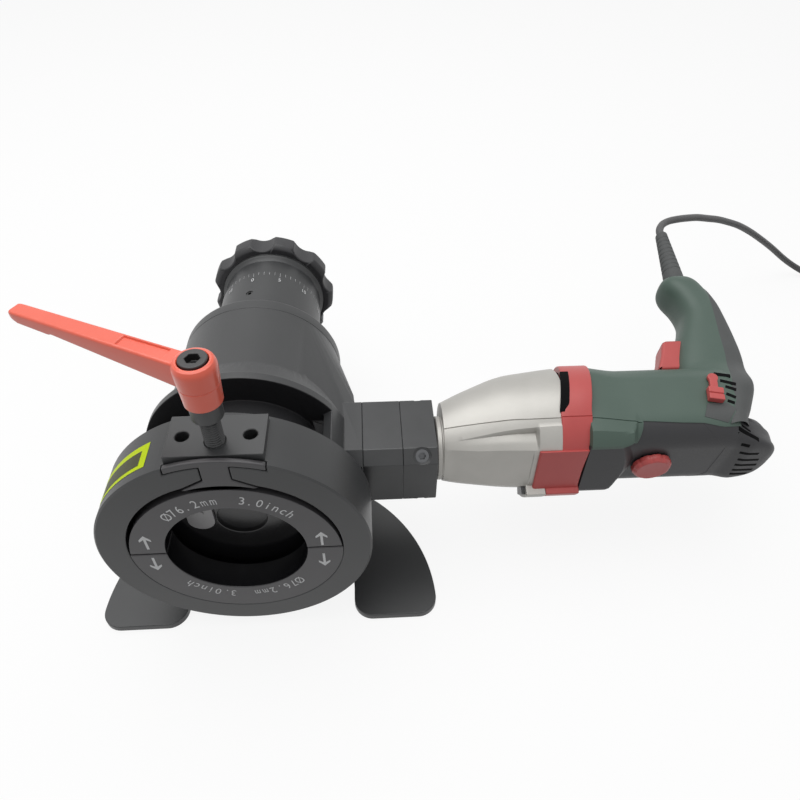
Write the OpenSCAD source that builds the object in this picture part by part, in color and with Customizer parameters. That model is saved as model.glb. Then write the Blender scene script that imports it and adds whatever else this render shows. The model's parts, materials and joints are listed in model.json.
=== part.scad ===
// Electric tube facer: a tube clamp with a facing cutter behind it.
// A hand drill turns the cutter through an angle drive.
// The head axis is the Y axis. The clamp face is at Y = 0, the drill lies along +X, and Z points up.

/* [Tube clamp] */
// Outside diameter of the tube that the collet halves hold
tube_d = 76.2; // [40:0.1:84]
// Width of the collet halves along the tube
collet_w = 16; // [12:1:20]
// Saw cut between the two collet halves
collet_kerf = 1.2; // [0.6:0.1:3]
// Bore of the ring that the collet halves sit in
seat_d = 116; // [108:1:122]
// Ledge behind the collet halves
seat_ledge = 4; // [2:0.5:5]
// Outside diameter of the clamp ring
ring_d = 148; // [142:1:160]
// Length of the clamp ring along the tube
ring_w = 34; // [30:1:40]
// Height of the flat pad above the head axis
pad_z = 75; // [75:0.5:82]
// Width of the pad
pad_w = 48; // [46:1:60]
// Rear end of the pad
pad_y1 = 30.5; // [28:0.5:34]
// Distance between the two tapped holes in the pad
pad_hole_span = 33; // [31:1:36]
// Drilled size of the tapped holes in the pad
pad_hole_d = 6.8; // [4:0.1:8]
// Depth of the tapped holes in the pad
pad_hole_depth = 12; // [6:1:14]
// Drop of the upper collet half's back below a full circle
collet_ease = 4.6; // [3:0.1:5]

/* [Clamp slider] */
// Width of the slider's crossbar
bar_w = 49; // [40:1:56]
// Height of the curved crossbar
bar_h = 3.9; // [3:0.1:5]
// Width of the slider's stem
stem_w = 14; // [10:1:18]
// Thickness of the slider's front plate
plate_t = 3; // [2:0.5:5]
// Width of the block behind the plate
block_w = 20; // [16:1:21]
// Length of the block behind the plate
block_l = 18; // [16:1:20]
// Travel of the slider as the clamp opens
slider_travel = 1; // [0.5:0.1:1.5]
// Half the width of the slider's curved shoe
shoe_half = 19; // [14:1:24]

/* [Clamp lever] */
// Diameter of the clamp stud
stud_d = 10; // [8:1:12]
// Place of the stud behind the clamp face
stud_y = 13; // [12:0.5:14]
// Height of the lever hub's underside
hub_z = 102; // [98:1:110]
// Height of the lever hub
hub_h = 24; // [20:1:30]
// Diameter of the lever hub
hub_d = 23; // [21:0.5:28]
// Reach of the lever from the stud to its tip
lever_len = 104; // [80:1:130]
// Direction of the lever, from +X towards +Y
lever_angle = 154; // [0:1:359]
// Width of the lever arm at its root
lever_root_w = 10.5; // [9:0.5:14]
// Depth of the lever arm at its root
lever_root_h = 15; // [12:0.5:18]
// Lift of the lever on its teeth
lever_lift = 4; // [3.5:0.1:5]

/* [Head] */
// Outside diameter of the window walls and the bell's front
bell_d = 126.6; // [122:0.2:134]
// Rear edge of the windows
bell_y = 71; // [69:0.5:74]
// Outside diameter of the rear body
body_d = 109; // [104:0.5:118]
// Start of the full rear body behind the flare
body_y = 96; // [90:1:100]
// Rear end of the casting
body_end = 150; // [146:1:154]
// Thickness of the rear cover
cover_t = 11; // [8:0.5:14]
// Diameter of the hub that holds the front bearing
hub_wall_d = 92; // [86:1:94]
// Front face of that hub
hub_wall_y = 47; // [46.5:0.5:48]
// Angle of the upper window's left edge from the top
window_left = 70; // [50:1:80]
// Angle of the upper window's right edge from the top
window_right = 56; // [46:1:60]
// Half angle of the chip opening below
window_low = 32; // [20:1:40]

/* [Cutter] */
// Diameter of the spindle
spindle_d = 28; // [24:1:30]
// Diameter of the cutter head
cutter_d = 100; // [80:1:104]
// Front face of the cutter head
cutter_y = 22; // [21:0.5:23]
// Thickness of the cutter head
cutter_t = 8; // [6:0.5:10]
// Front of the tool, just behind the collet halves
tool_y = 18; // [17:0.5:20]
// Travel of the cutter feed
feed_travel = 12; // [4:1:12]

/* [Feed knob] */
// Diameter of the feed sleeve and dial ring
sleeve_d = 76; // [70:0.2:80]
// Length of the fixed sleeve in front of the dial ring
sleeve_l = 17; // [14:1:20]
// Length of the dial ring
dial_l = 40.7; // [38:0.1:44]
// Length of the knob's hub
knob_hub_l = 20.5; // [18:0.5:26]
// Diameter across the knob's lobes
knob_d = 95; // [88:1:106]
// Thickness of the knob
knob_t = 17; // [16:0.5:24]
// Count of the knob's lobes
knob_lobes = 9; // [6:1:10]

/* [Angle drive] */
// Place of the drive axis behind the clamp face
drive_y = 70; // [69:0.5:71]
// Width of the drive blocks along the head axis
block_y = 54; // [52:1:56]
// Height of the drive blocks
block_z = 46; // [44:1:50]
// Chamfer on the long edges of the drive blocks
block_c = 7; // [5:0.5:8]
// Start of the gear block beside the head axis
gear_block_x = 70; // [69:0.5:72]
// Length of the gear block
gear_block_l = 23.5; // [22:0.5:28]
// Length of the drill clamp block
clamp_block_l = 20.5; // [19:0.5:26]
// Diameter of the pinion shaft
shaft_d = 16; // [14:1:18]

/* [Drill] */
// Roll of the drill about its axis
drill_roll = 10; // [6:1:14]
// Diameter of the nose that the clamp block grips
nose_d = 36; // [34:0.5:37]
// Offset of the motor from the spindle, towards the grip
motor_v = 14; // [13.5:0.1:14.5]
// Diameter of the motor housing
motor_d = 68; // [66:0.5:72]
// Width across the flat sides of the motor housing
motor_w = 64; // [62:0.5:66]
// Radius of the motor housing's lower corners
motor_corner = 17; // [14:0.5:20]
// Wall of the drill's casings
drill_wall = 3; // [2:0.5:4]
// Half thickness of the grip
grip_half = 17; // [15:0.5:20]
// Diameter of the speed knob
speed_knob_d = 24.4; // [20:0.2:26]
// Travel of the trigger
trigger_travel = 6; // [3:0.5:6]

/* [Base] */
// Height of the head axis above the table
axis_h = 84; // [82:0.5:100]
// Thickness of the base plate
base_t = 5; // [4:0.5:7]
// Radius of the round front part of the base plate
base_r = 106; // [98:1:120]
// Sideways offset of the base plate, towards the drill
base_x = 8; // [0:1:20]
// Width of the slot between the two front feet
base_slot_w = 106; // [90:1:116]
// Width of the rear part of the base plate
base_tail_w = 120; // [100:1:140]
// Rear end of the base plate
base_tail_y = 184; // [160:1:200]
// Width of the saddle block
saddle_w = 64; // [50:1:80]
// Diameter of the base screws
base_screw_d = 8; // [6:0.5:10]

/* [Mains lead] */
// Diameter of the lead
cord_d = 6; // [5:0.1:6.2]
// Length of the sleeve that guards the lead
cord_sleeve_l = 52; // [30:1:60]
// Turns in each layer of the coil
coil_turns = 4; // [3:1:5]

/* [Hidden] */
$fn = 64;
eps = 0.01;
over = 1;
// Clearance of a running fit, of a fixed seat and between plain moving faces
run = 0.05;
seat = 0.02;
gap = 0.4;

tube_r = tube_d / 2;
seat_r = seat_d / 2;
ring_r = ring_d / 2;
ledge_r = seat_r - seat_ledge;
ring_chamfer = 1;
table_z = -axis_h;
collet_r = seat_r - seat;
pad_y0 = plate_t + gap;
pad_hole_y = 16.5;

// Slider
bar_r = ring_r + 0.3;
bar_low_r = bar_r - bar_h;
block_top = seat_r + 8;
slot_top = block_top + slider_travel + gap;
slot_y1 = plate_t + block_l + gap;
shoe_top = seat_r + 2;
shoe_tip = seat_r - 5;
shoe_low_r = seat_r - 2.6;
upper_r = collet_r - gap;
stud_bite = 3;

// Lever and stud
stud_r = stud_d / 2;
stud_z0 = block_top - 4;
insert_h = 9;
insert_r = 7.7;
insert_tooth_r = 6.4;
insert_core_r = 5.2;
insert_tooth_h = lever_lift - 1;
cap_head_r = 6.5;
cap_head_h = 5;
cap_shank_r = 4;
cap_proud = 1;
hub_top = hub_z + hub_h;
cap_z0 = hub_top - cap_head_h + cap_proud;
hub_floor = hub_z + insert_tooth_h + 1.2;
hub_web = 1.5;
hub_low_r = 9;
hub_round = 2.5;
lever_tip_w = 8.4;
lever_tip_h = 7.5;
lever_top = hub_top - 1.5;
lever_grip_s = lever_len - 26;
spring_wire = 1.2;
spring_turns = 5;
spring_pitch = 2.4;
spring_r = cap_shank_r + spring_wire / 2 + 0.3;
spring_z0 = hub_floor + hub_web + 0.1;

// Head casting
bell_r = bell_d / 2;
wall_r = bell_r - 6.3;
body_r = body_d / 2;
hub_wall_r = hub_wall_d / 2;
flare_y = bell_y + 5;
shoulder_z = 15;
chamber_r = 40;
chamber_y0 = 56;
chamber_y1 = 94;
bearing_seat_r = 32;
spindle_r = spindle_d / 2;
front_seat_r = spindle_r + 8;
front_lip = 1.5;
window_reach = 3 * ring_r;

// Cutter and gears
cutter_r = cutter_d / 2;
cutter_y1 = cutter_y + cutter_t;
pinion_teeth = 12;
crown_teeth = 30;
cone_far = 27;
cone_near = 20;
bevel_ratio = pinion_teeth / crown_teeth;
bevel_add = 0.9;
bevel_ded = 1.5;
pinion_pitch_r = cone_far * bevel_ratio;
pinion_tilt = atan(bevel_ratio);
crown_near_y = drive_y + cone_near * bevel_ratio;
crown_rim_r = cone_far + bevel_add / sin(pinion_tilt);
crown_root_r = cone_far - bevel_ded / sin(pinion_tilt);
crown_grow = 33 / cone_far;
crown_web_y = drive_y + pinion_pitch_r * crown_grow;
crown_hub_r = 20;
crown_hub_y1 = 124;
crown_web = 9;
crown_bearing_w = 10;
crown_bearing_y = [96, 112];
spigot_y = 122.3;
spigot_r = 24;
spindle_end = body_end + cover_t + 6;
journal_r = 10;
journal_l = 10;
nut_l = 6;
nut_r = 13;
key_w = 5;
key_h = 2;
key_y = [88, 104];
tool_x = [-30, -15];
tool_top = 39;
tool_tip = 1;
tool_screw_r = 2.6;
tool_screw_z = [8, 36];
insert_z = [16, 30];

// Feed
sleeve_r = sleeve_d / 2;
sleeve_y0 = body_end + cover_t;
dial_y0 = sleeve_y0 + sleeve_l + 0.3;
dial_y1 = dial_y0 + dial_l;
guide_r = 30;
guide_y1 = dial_y1 - 0.3;
carrier_r = 26;
carrier_y0 = sleeve_y0 + 2;
thrust_r = 20;
thrust_y0 = spindle_end;
thrust_y1 = thrust_y0 + journal_l;
nut_y1 = thrust_y1 + nut_l;
nut_room = nut_y1 + 2;
carrier_y1 = guide_y1 - feed_travel - 0.7;
screw_r = 8;
screw_y0 = nut_y1 + feed_travel + 1;
knob_hub_r = sleeve_r - 1.2;
knob_flare = 3.5;
knob_y0 = dial_y1 + knob_hub_l;
knob_y1 = knob_y0 + knob_t;
knob_r = knob_d / 2;
knob_stub_r = 12;
knob_stub_l = knob_t - 6;
knob_phase = -14;
scallop_r = 12.5;
scallop_depth = 5;
dial_screw_turn = -14;
dial_screw_y = dial_y0 + 14.3;
dial_screw_r = 2.5;
cover_screw_r = 2.5;
cover_screw_l = 10;
cover_screw_ring = 45;
cover_head_r = 4.5;
cover_head_h = 5;

// Angle drive
shaft_r = shaft_d / 2;
pinion_seat_r = 16;
neck_x = 40;
block_x1 = gear_block_x + gear_block_l;
block_x2 = block_x1 + clamp_block_l;
nose_r = nose_d / 2;
nose_x0 = block_x1 + 2.5;
coupling_r = 10;
coupling_x = [block_x1 - 7, block_x1 + 12];
shaft_end = block_x1 + 1;
bit_x0 = block_x1 + 4.5;
set_screw_r = 4;
set_screw_x = (block_x1 + block_x2) / 2 + 1;
set_screw_spot_r = 5.2;
block_screw_r = 2;
block_screw_l = 12;
block_head_r = 3.5;
block_head_h = 4;

// Drill, in its own frame: x along the axis, v towards the end of the grip, w to the side
flange_r = 20;
case_x0 = block_x2 + 3.5;
case_x1 = 193;
red_x1 = 213;
red_r = 39.5;
red_v = 12.5;
red_step_v = -18.5;
red_step_x = case_x1 - 14;
chin_r = 42;
chin_x = [223, 236.6];
rail_h = 4.5;
rail_w = [-31, -6];
rail_x = red_step_x + 6.5;
motor_r = motor_d / 2;
motor_half = motor_w / 2;
motor_x1 = 305;
drill_end = 332;
cap_x = motor_x1 - 9;
cap_v = -19.4;
cover_line = -5;
cover_flat = -17;
case_discs = [[case_x0, 4, 24], [127, 5.8, 27.5], [157, 10.5, 35.5], [case_x1, 12, 38.5]];
case_wall = 3.5;
out_r = 8;
out_bush_x = block_x2 - 4;
gear_m = 1;
arm_teeth = 8;
lay_big = 30;
lay_small = 10;
out_teeth = 24;
arm_lay = gear_m * (arm_teeth + lay_big) / 2;
lay_out = gear_m * (lay_small + out_teeth) / 2;
lay_v = (lay_out * lay_out - arm_lay * arm_lay + motor_v * motor_v) / (2 * motor_v);
lay_w = sqrt(lay_out * lay_out - lay_v * lay_v);
out_gear_x = 160;
out_gear_l = 12;
lay_gear_x = 184;
lay_gear_l = 8;
plate_x = 198;
plate_l = 8;
arm_bearing_r = 8.5;
lay_shaft_r = 3;
web_x = [148, 156];
arm_shaft_r = 4;
rear_bearing_x = 295;
rear_bearing_l = 8;
stator_r = 29.5;
stator_x = [230, 278];
arm_core_r = 19;
fan_r = 27;
fan_x = 212;
comm_x = 281;
comm_r = 12;
grip_cut = 3;

// Grip outline: front edge from the body to the end, the strap's edge, and the back; x and v of each bend
grip_front = [[284, 30], [286, 54], [294, 76], [302, 94], [304.5, 104], [303, 116], [298.5, 127], [298, 134],
    [301, 139], [309, 141]];
grip_line = [[319, 139], [325, 126], [323, 104], [319, 76], [315, 50], [309, 26]];
grip_back = [[319, 139], [327, 126], [331.5, 110], [333, 97], [334, 76], [333, 56], [327, 30], [319, 10]];
// Insets of the grip's rounded edge, each with its drop from the full thickness
grip_edge = [[0, 11], [1, 8.5], [2.4, 6], [4.6, 3.6], [7.5, 1.6], [11, 0]];
// Trigger outline: x and v of each corner, from the lower front round to the upper front
trigger_outline = [[272.8, 53.2], [274.6, 51.8], [297, 51.8], [300, 77], [284, 77], [281.8, 75.6], [278, 64.6]];
trigger_x = [272.8, 300];
trigger_v = [51.8, 77];
trigger_half = 8;
lever_pin = [289, 23];
lever_rest = 12;
shell_screw_r = 2;
shell_head_r = 4;
shell_screw_top = 9;
sleeve_hold = 10;
cap_slot_pitch = 6;
cap_slot_w = 1.8;
lever_pin_r = 2.5;
knob_x = 249.3;
speed_knob_h = 5;
speed_pin_r = 5;
plate_slot_v = [-4.5, 4];
plate_slot_x = [277, 298];

// Base
plate_top = table_z + base_t;
base_y = 10;
base_corner = 12;
slot_y = 20;
saddle_y = [body_y + 2, body_end - 4];
saddle_z = -body_r + 14;
base_screw_x = 20;
base_screw_in = 10;
base_screw_top = -46;

// Lead: the places that its free stretch passes, chosen by hand
cord_r = cord_d / 2;
sleeve_foot = [314, 146];
sleeve_lean = 0.105;
sleeve_v = sleeve_foot[1] + cord_sleeve_l;
sleeve_dir = unit([sleeve_lean, cos(drill_roll), sin(drill_roll)]);
sleeve_tip = [sleeve_foot[0] + sleeve_lean * cord_sleeve_l, drive_y + sleeve_v * cos(drill_roll),
    sleeve_v * sin(drill_roll)];
coil_c = [610, 335];
coil_step = cord_d + 0.45;
coil_layer = cord_d + 0.5;
coil_r0 = 4 * cord_d;
coil_r1 = coil_r0 + coil_turns * coil_step;
coil_layers = 4;
coil_z = table_z + 1.2 + cord_r;
coil_start = [coil_c[0] - coil_r1, coil_c[1] + cord_d, coil_z];
cord_route = [
    sleeve_tip, sleeve_tip + cord_d * sleeve_dir, [325, 279, 36], [333, 285, 36], [344, 290, 35],
        [354, 295, 33],
    [366, 301, 30], [380, 308, 25], [393, 315, 20], [406, 322, 14], [426, 332, 4], [447, 343, -9],
    [469, 354, -24], [494, 366, -42], [518, 375, -60], [536, 379, -72], [549, 374, -78], [557, 363, -80],
    coil_start
];
cord_sides = 8;
coil_sides = 6;
coil_rings = 24;
tie_t = 0.9;
tie_w = 12;
plug_r = 18;
plug_l = 44;
plug_neck_l = 20;
plug_pin_r = 2.4;
plug_pin_l = 19;
plug_pin_span = 19;
plug_z = table_z + plug_r + 0.2;
plug_run = 48;
plug_level = 14;

ink = "#2b2c2e";
blued = "#232427";
steel = "#b9bbbd";
zinc = "#c9c8c3";
orange = "#e2543a";
green = "#2f4a40";
red = "#c8323a";
rubber = "#1d1d1f";
brass = "#b08d48";

// Shared shapes

// Solid turned about the head axis, from [radius, y] points
module turned_y(points) {
    rotate([-90, 0, 0]) rotate_extrude() polygon(points);
}

module rod_y(r, y0, y1) {
    translate([0, y0, 0]) rotate([-90, 0, 0]) cylinder(r = r, h = y1 - y0);
}

module tube_y(r0, r1, y0, y1) {
    difference() {
        rod_y(r1, y0, y1);
        rod_y(r0, y0 - over, y1 + over);
    }
}

module rod_x(r, x0, x1, v = 0, w = 0) {
    translate([x0, v, w]) rotate([0, 90, 0]) cylinder(r = r, h = x1 - x0);
}

module tube_x(r0, r1, x0, x1, v = 0, w = 0) {
    difference() {
        rod_x(r1, x0, x1, v, w);
        rod_x(r0, x0 - over, x1 + over, v, w);
    }
}

module rod_z(r, z0, z1) {
    translate([0, 0, z0]) cylinder(r = r, h = z1 - z0);
}

module box(low, high) {
    translate(low) cube(high - low);
}

module drill_frame() {
    translate([0, drive_y, 0]) rotate([drill_roll, 0, 0]) children();
}

// Hexagon socket in the end of a screw that points along Z
module hex_hole(across, top, depth) {
    translate([0, 0, top - depth]) cylinder(r = across / 2 / cos(30), h = depth + over, $fn = 6);
}

// Block section of the angle drive, swept along X
module drive_section(x0, x1) {
    y = block_y / 2;
    z = block_z / 2;
    c = block_c;
    translate([x0, drive_y, 0]) rotate([90, 0, 90]) linear_extrude(x1 - x0)
        polygon([[-y + c, -z], [y - c, -z], [y, -z + c], [y, z - c], [y - c, z], [-y + c, z], [-y, z - c],
            [-y, -z + c]]);
}

// Outline of straight teeth round a pitch circle
function tooth_ring(teeth, tip_r, root_r) = [
    for (i = [0:teeth - 1], p = [[-0.29, root_r], [-0.1, tip_r], [0.1, tip_r], [0.29, root_r]])
        p[1] * [cos(360 / teeth * (i + p[0])), sin(360 / teeth * (i + p[0]))]
];

module spur(teeth, x0, length, phase) {
    r = gear_m * teeth / 2;
    translate([x0, 0, 0]) rotate([90, 0, 90]) rotate(phase) linear_extrude(length)
        polygon(tooth_ring(teeth, r + 0.7 * gear_m, r - 1.1 * gear_m));
}

// Sweep of a round tube along points, with parallel frames
function unit(a) = a / norm(a);
function heading(path, i) = unit(path[min(i + 1, len(path) - 1)] - path[max(i - 1, 0)]);
function carry(side, dir) = unit(side - (side * dir) * dir);
function sides_along(path, i, side) =
    i >= len(path) ? [] : let(s = carry(side, heading(path, i))) concat([s], sides_along(path, i + 1, s));
function ring_points(centre, dir, side, r, n) =
    let(up = cross(dir, side)) [for (k = [0:n - 1])
        centre + r * (cos(360 * k / n) * side + sin(360 * k / n) * up)];

module swept_tube(path, r, n, side) {
    last = len(path) - 1;
    s = sides_along(path, 0, side);
    points = [for (i = [0:last]) each ring_points(path[i], heading(path, i), s[i], r, n)];
    walls = [for (i = [0:last - 1], k = [0:n - 1]) let(a = i * n + k, b = i * n + (k + 1) % n)
        each [[a, b, a + n], [b, b + n, a + n]]];
    start = [for (k = [1:n - 2]) [0, k + 1, k]];
    finish = [for (k = [1:n - 2]) [last * n, last * n + k, last * n + k + 1]];
    polyhedron(points, concat(walls, start, finish));
}

// Smooth curve through points, with a few steps for each stretch
function curve(points, steps = 5) = [
    for (i = [0:len(points) - 2], k = [0:steps - 1])
        let(t = k / steps, a = points[max(i - 1, 0)], b = points[i], c = points[i + 1],
            d = points[min(i + 2, len(points) - 1)])
        0.5 * (2 * b + (c - a) * t + (2 * a - 5 * b + 4 * c - d) * t * t + (3 * b - 3 * c + d - a)
            * t * t * t),
    points[len(points) - 1]
];
function reversed(points) = [for (i = [len(points) - 1:-1:0]) points[i]];

// Base

// Round plate with a square tail, a wide slot at the front and rounded corners
module base_outline() {
    offset(r = base_corner, $fn = 48) offset(delta = -base_corner) difference() {
        union() {
            intersection() {
                translate([base_x, base_y]) circle(r = base_r, $fn = 128);
                translate([base_x - base_r, 0]) square([2 * base_r, base_tail_y]);
            }
            translate([base_x - base_tail_w / 2, base_y]) square([base_tail_w, base_tail_y - base_y]);
        }
        translate([base_x - base_slot_w / 2, -over]) square([base_slot_w, slot_y + over]);
        translate([base_x, slot_y]) circle(r = base_slot_w / 2, $fn = 96);
    }
}

module at_base_screws() {
    for (x = [-1, 1], y = [saddle_y[0] + base_screw_in, saddle_y[1] - base_screw_in])
        translate([x * base_screw_x, y, 0]) children();
}

module base_screw_shape(room) {
    r = base_screw_d / 2;
    rod_z(r + room, table_z + 0.5, base_screw_top + room);
    translate([0, 0, table_z + 0.5 - room]) cylinder(r1 = 2 * r + room, r2 = r + room, h = r);
}

module base_plate() {
    color(blued) difference() {
        translate([0, 0, table_z]) linear_extrude(base_t) base_outline();
        at_base_screws() {
            base_screw_shape(seat);
            rod_z(base_screw_d + seat, table_z - over, table_z + 0.5);
        }
    }
}

module base_saddle() {
    color(ink) difference() {
        box([-saddle_w / 2, saddle_y[0], plate_top], [saddle_w / 2, saddle_y[1], saddle_z]);
        rod_y(body_r + seat, 0, body_end + over);
        at_base_screws() base_screw_shape(seat);
    }
}

module base_screws() {
    color(steel) at_base_screws() difference() {
        base_screw_shape(0);
        translate([0, 0, table_z]) cylinder(r = base_screw_d / 4, h = base_screw_d / 2, $fn = 6);
    }
}

// Head casting

module window(left, right) {
    rotate([90, 0, 0]) translate([0, 0, -bell_y]) linear_extrude(bell_y - ring_w)
        polygon([[0, 0], window_reach * [-sin(left), cos(left)], [0, window_reach],
            window_reach * [sin(right), cos(right)]]);
}

module at_pad_holes() {
    for (x = [-1, 1]) translate([x * pad_hole_span / 2, pad_hole_y, 0]) children();
}

// Front outline of the slider: curved bar, stem and thin shoe, with room round it and above the shoe
module slider_outline(room, rise) {
    intersection() {
        difference() {
            circle(r = bar_r + (room > 0 ? ring_r : 0));
            circle(r = bar_low_r - room);
        }
        translate([-bar_w / 2 - room, 0]) square([bar_w + 2 * room, 2 * ring_r]);
    }
    translate([-stem_w / 2 - room, shoe_tip]) square([stem_w + 2 * room, bar_r - 1 - shoe_tip]);
    polygon([[-shoe_half - room, shoe_tip], [-shoe_half - room, shoe_tip + rise],
        [-stem_w / 2, shoe_top + rise],
        [stem_w / 2, shoe_top + rise], [shoe_half + room, shoe_tip + rise], [shoe_half + room, shoe_tip]]);
}

module slider_plate(room, rise, y0, y1) {
    translate([0, y1, 0]) rotate([90, 0, 0]) linear_extrude(y1 - y0) slider_outline(room, rise);
}

module slider_room() {
    slider_plate(gap, slider_travel + gap, -over, pad_y0);
    box([-block_w / 2 - gap, plate_t - over, seat_r - 8], [block_w / 2 + gap, slot_y1, slot_top]);
}

// Side of the casting that runs out from the rear body to the drive blocks
module drive_shoulder() {
    hull() {
        intersection() {
            rod_y(body_r - 0.02, body_y + 4, body_end - 2);
            box([body_r / 2, 0, -body_r], [body_r, body_end, body_r]);
        }
        box([neck_x + 8, drive_y - block_y / 2 + 10, -shoulder_z], [gear_block_x - 2.5, drive_y, shoulder_z]);
        box([neck_x + 8, drive_y, -shoulder_z], [gear_block_x - 5.5, drive_y + block_y / 2 + 8, shoulder_z]);
    }
}

module head_casting() {
    c = ring_chamfer;
    color(ink) difference() {
        union() {
            turned_y([[0, 0], [ring_r - c, 0], [ring_r, c], [ring_r, ring_w - c], [ring_r - c, ring_w],
                [0, ring_w]]);
            box([-pad_w / 2, pad_y0, 0], [pad_w / 2, pad_y1, pad_z]);
            difference() {
                union() {
                    tube_y(wall_r, bell_r, ring_w - over, bell_y + over);
                    drive_shoulder();
                }
                window(window_left, window_right);
                rotate([0, 180, 0]) window(window_low, window_low);
            }
            turned_y([[0, hub_wall_y], [hub_wall_r, hub_wall_y], [hub_wall_r, bell_y], [bell_r, bell_y],
                [bell_r, flare_y], [body_r, body_y], [body_r, body_end], [0, body_end]]);
            drive_section(neck_x, gear_block_x);
        }
        rod_y(seat_r, -over, collet_w + gap);
        rod_y(ledge_r, -over, ring_w + eps);
        rod_y(spindle_r + 2, 0, chamber_y1);
        rod_y(front_seat_r, hub_wall_y + front_lip, chamber_y1);
        rod_y(chamber_r, chamber_y0, chamber_y1);
        rod_y(bearing_seat_r, chamber_y0, body_end + over);
        translate([0, drive_y, 0]) rod_x(pinion_seat_r, 0, gear_block_x + over);
        slider_room();
        translate([0, stud_y, 0]) rod_z(stud_r + run, block_top, 2 * ring_r);
        at_pad_holes() rod_z(pad_hole_d / 2, pad_z - pad_hole_depth, pad_z + over);
        at_base_screws() base_screw_shape(seat);
        at_cover_screws() rod_y(cover_screw_r + seat, body_end - cover_screw_l, body_end + over);
        at_block_screws() rod_x(block_screw_r + seat, gear_block_x - block_screw_l, gear_block_x + over);
    }
}

// Collet halves and slider

module collet_ring(back_r, drop) {
    difference() {
        translate([0, 0, -drop]) rod_y(back_r, 0, collet_w);
        rod_y(tube_r, -over, collet_w + over);
    }
}

module lower_collet() {
    color(blued) intersection() {
        collet_ring(collet_r, 0);
        box([-ring_r, -over, -ring_r], [ring_r, ring_w, -collet_kerf / 2]);
    }
}

module upper_collet() {
    color(blued) intersection() {
        collet_ring(upper_r, collet_ease);
        box([-ring_r, -over, collet_kerf / 2], [ring_r, ring_w, ring_r]);
    }
}

module clamp_slider() {
    color(ink) difference() {
        union() {
            difference() {
                slider_plate(0, 0, 0, plate_t);
                rod_y(shoe_low_r, -over, ring_w);
            }
            box([-block_w / 2, plate_t - eps, seat_r - 7], [block_w / 2, plate_t + block_l, block_top]);
        }
        translate([0, 0, -collet_ease]) rod_y(upper_r + seat, plate_t, ring_w);
        translate([0, stud_y, 0]) rod_z(stud_r + run, stud_z0, 2 * ring_r);
    }
}

// Clamp lever

module clamp_stud() {
    color(blued) translate([0, stud_y, 0]) difference() {
        rod_z(stud_r, stud_z0 + run, hub_z - insert_h + stud_bite);
        translate([0, 0, stud_z0]) cylinder(r1 = 2, r2 = 0.5, h = 1.5);
    }
}

module lever_insert() {
    z0 = hub_z - insert_h - 0.3;
    color(blued) translate([0, stud_y, 0]) difference() {
        union() {
            rod_z(insert_r, z0, hub_z - 0.3);
            for (k = [0:7]) rotate(45 * k) box([-1.2, 0, hub_z - 1],
                [1.2, insert_tooth_r, hub_z + insert_tooth_h]);
            rod_z(insert_core_r, hub_z - 1, hub_z + insert_tooth_h);
        }
        rod_z(stud_r + seat, z0 - over, hub_z - insert_h + stud_bite);
        rod_z(cap_shank_r + seat, hub_z - 4, hub_top);
    }
}

module lever_cap_screw() {
    color(rubber) translate([0, stud_y, 0]) difference() {
        union() {
            rod_z(cap_shank_r, hub_z - 4 + seat, cap_z0 + eps);
            rod_z(cap_head_r, cap_z0, cap_z0 + cap_head_h);
        }
        hex_hole(6, cap_z0 + cap_head_h, 4);
    }
}

function spring_path() = [for (k = [0:8 * spring_turns])
    [spring_r * cos(45 * k), stud_y + spring_r * sin(45 * k),
        spring_z0 + spring_wire / 2 + k / 8 * spring_pitch]];

module lever_spring() {
    color(steel) swept_tube(spring_path(), spring_wire / 2, 6, [0, 0, 1]);
}

module lever_handle() {
    r = hub_d / 2;
    f = hub_round;
    color(orange) translate([0, stud_y, 0]) difference() {
        union() {
            rotate_extrude() polygon([[0, hub_z], [hub_low_r, hub_z], [r, hub_z + 0.45 * hub_h],
                [r, hub_top - f], [r - 0.3 * f, hub_top - 0.3 * f], [r - f, hub_top], [0, hub_top]]);
            rotate(lever_angle) lever_arm();
        }
        rod_z(insert_tooth_r + gap, hub_z - over, hub_floor);
        rod_z(cap_shank_r + gap, hub_z, hub_top);
        rod_z(cap_head_r + gap, hub_floor + hub_web, hub_top + over);
    }
}

// Arm with its outline from above and from the side
module lever_arm() {
    s0 = cap_head_r + gap;
    tip = lever_tip_w / 2;
    root = lever_root_w / 2;
    grip = lever_grip_s;
    low = lever_top - lever_tip_h;
    intersection() {
        translate([0, 0, hub_z]) linear_extrude(hub_h) {
            polygon([[s0, -root], [lever_len - tip, -tip], [lever_len - tip, tip], [s0, root]]);
            translate([lever_len - tip, 0]) circle(r = tip);
        }
        rotate([90, 0, 0]) linear_extrude(hub_d, center = true)
            polygon([[0, lever_top - lever_root_h], [grip, low + 0.7], [grip + 2, low],
                [lever_len - 6, low + 1], [lever_len, lever_top - 3], [lever_len - 2, lever_top],
                [0, lever_top]]);
    }
}

// Cutter

module spindle() {
    color(steel) difference() {
        union() {
            rod_y(spindle_r, cutter_y + 2, spindle_end - 0.2);
            rod_y(journal_r, spindle_end - over, nut_y1);
            rod_y(nut_r, thrust_y1 + 0.2, nut_y1);
            box([-key_w / 2, key_y[0], 0], [key_w / 2, key_y[1], spindle_r + key_h]);
        }
        rod_y(2.5, nut_y1 - 4, nut_y1 + over);
    }
}

module cutter_head() {
    color(blued) difference() {
        turned_y([[spindle_r + seat, cutter_y], [cutter_r - 2, cutter_y], [cutter_r, cutter_y + 2],
            [cutter_r, cutter_y1], [spindle_r + seat, cutter_y1]]);
        tool_outline(seat, cutter_y - over, cutter_y + 4);
    }
}

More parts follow.
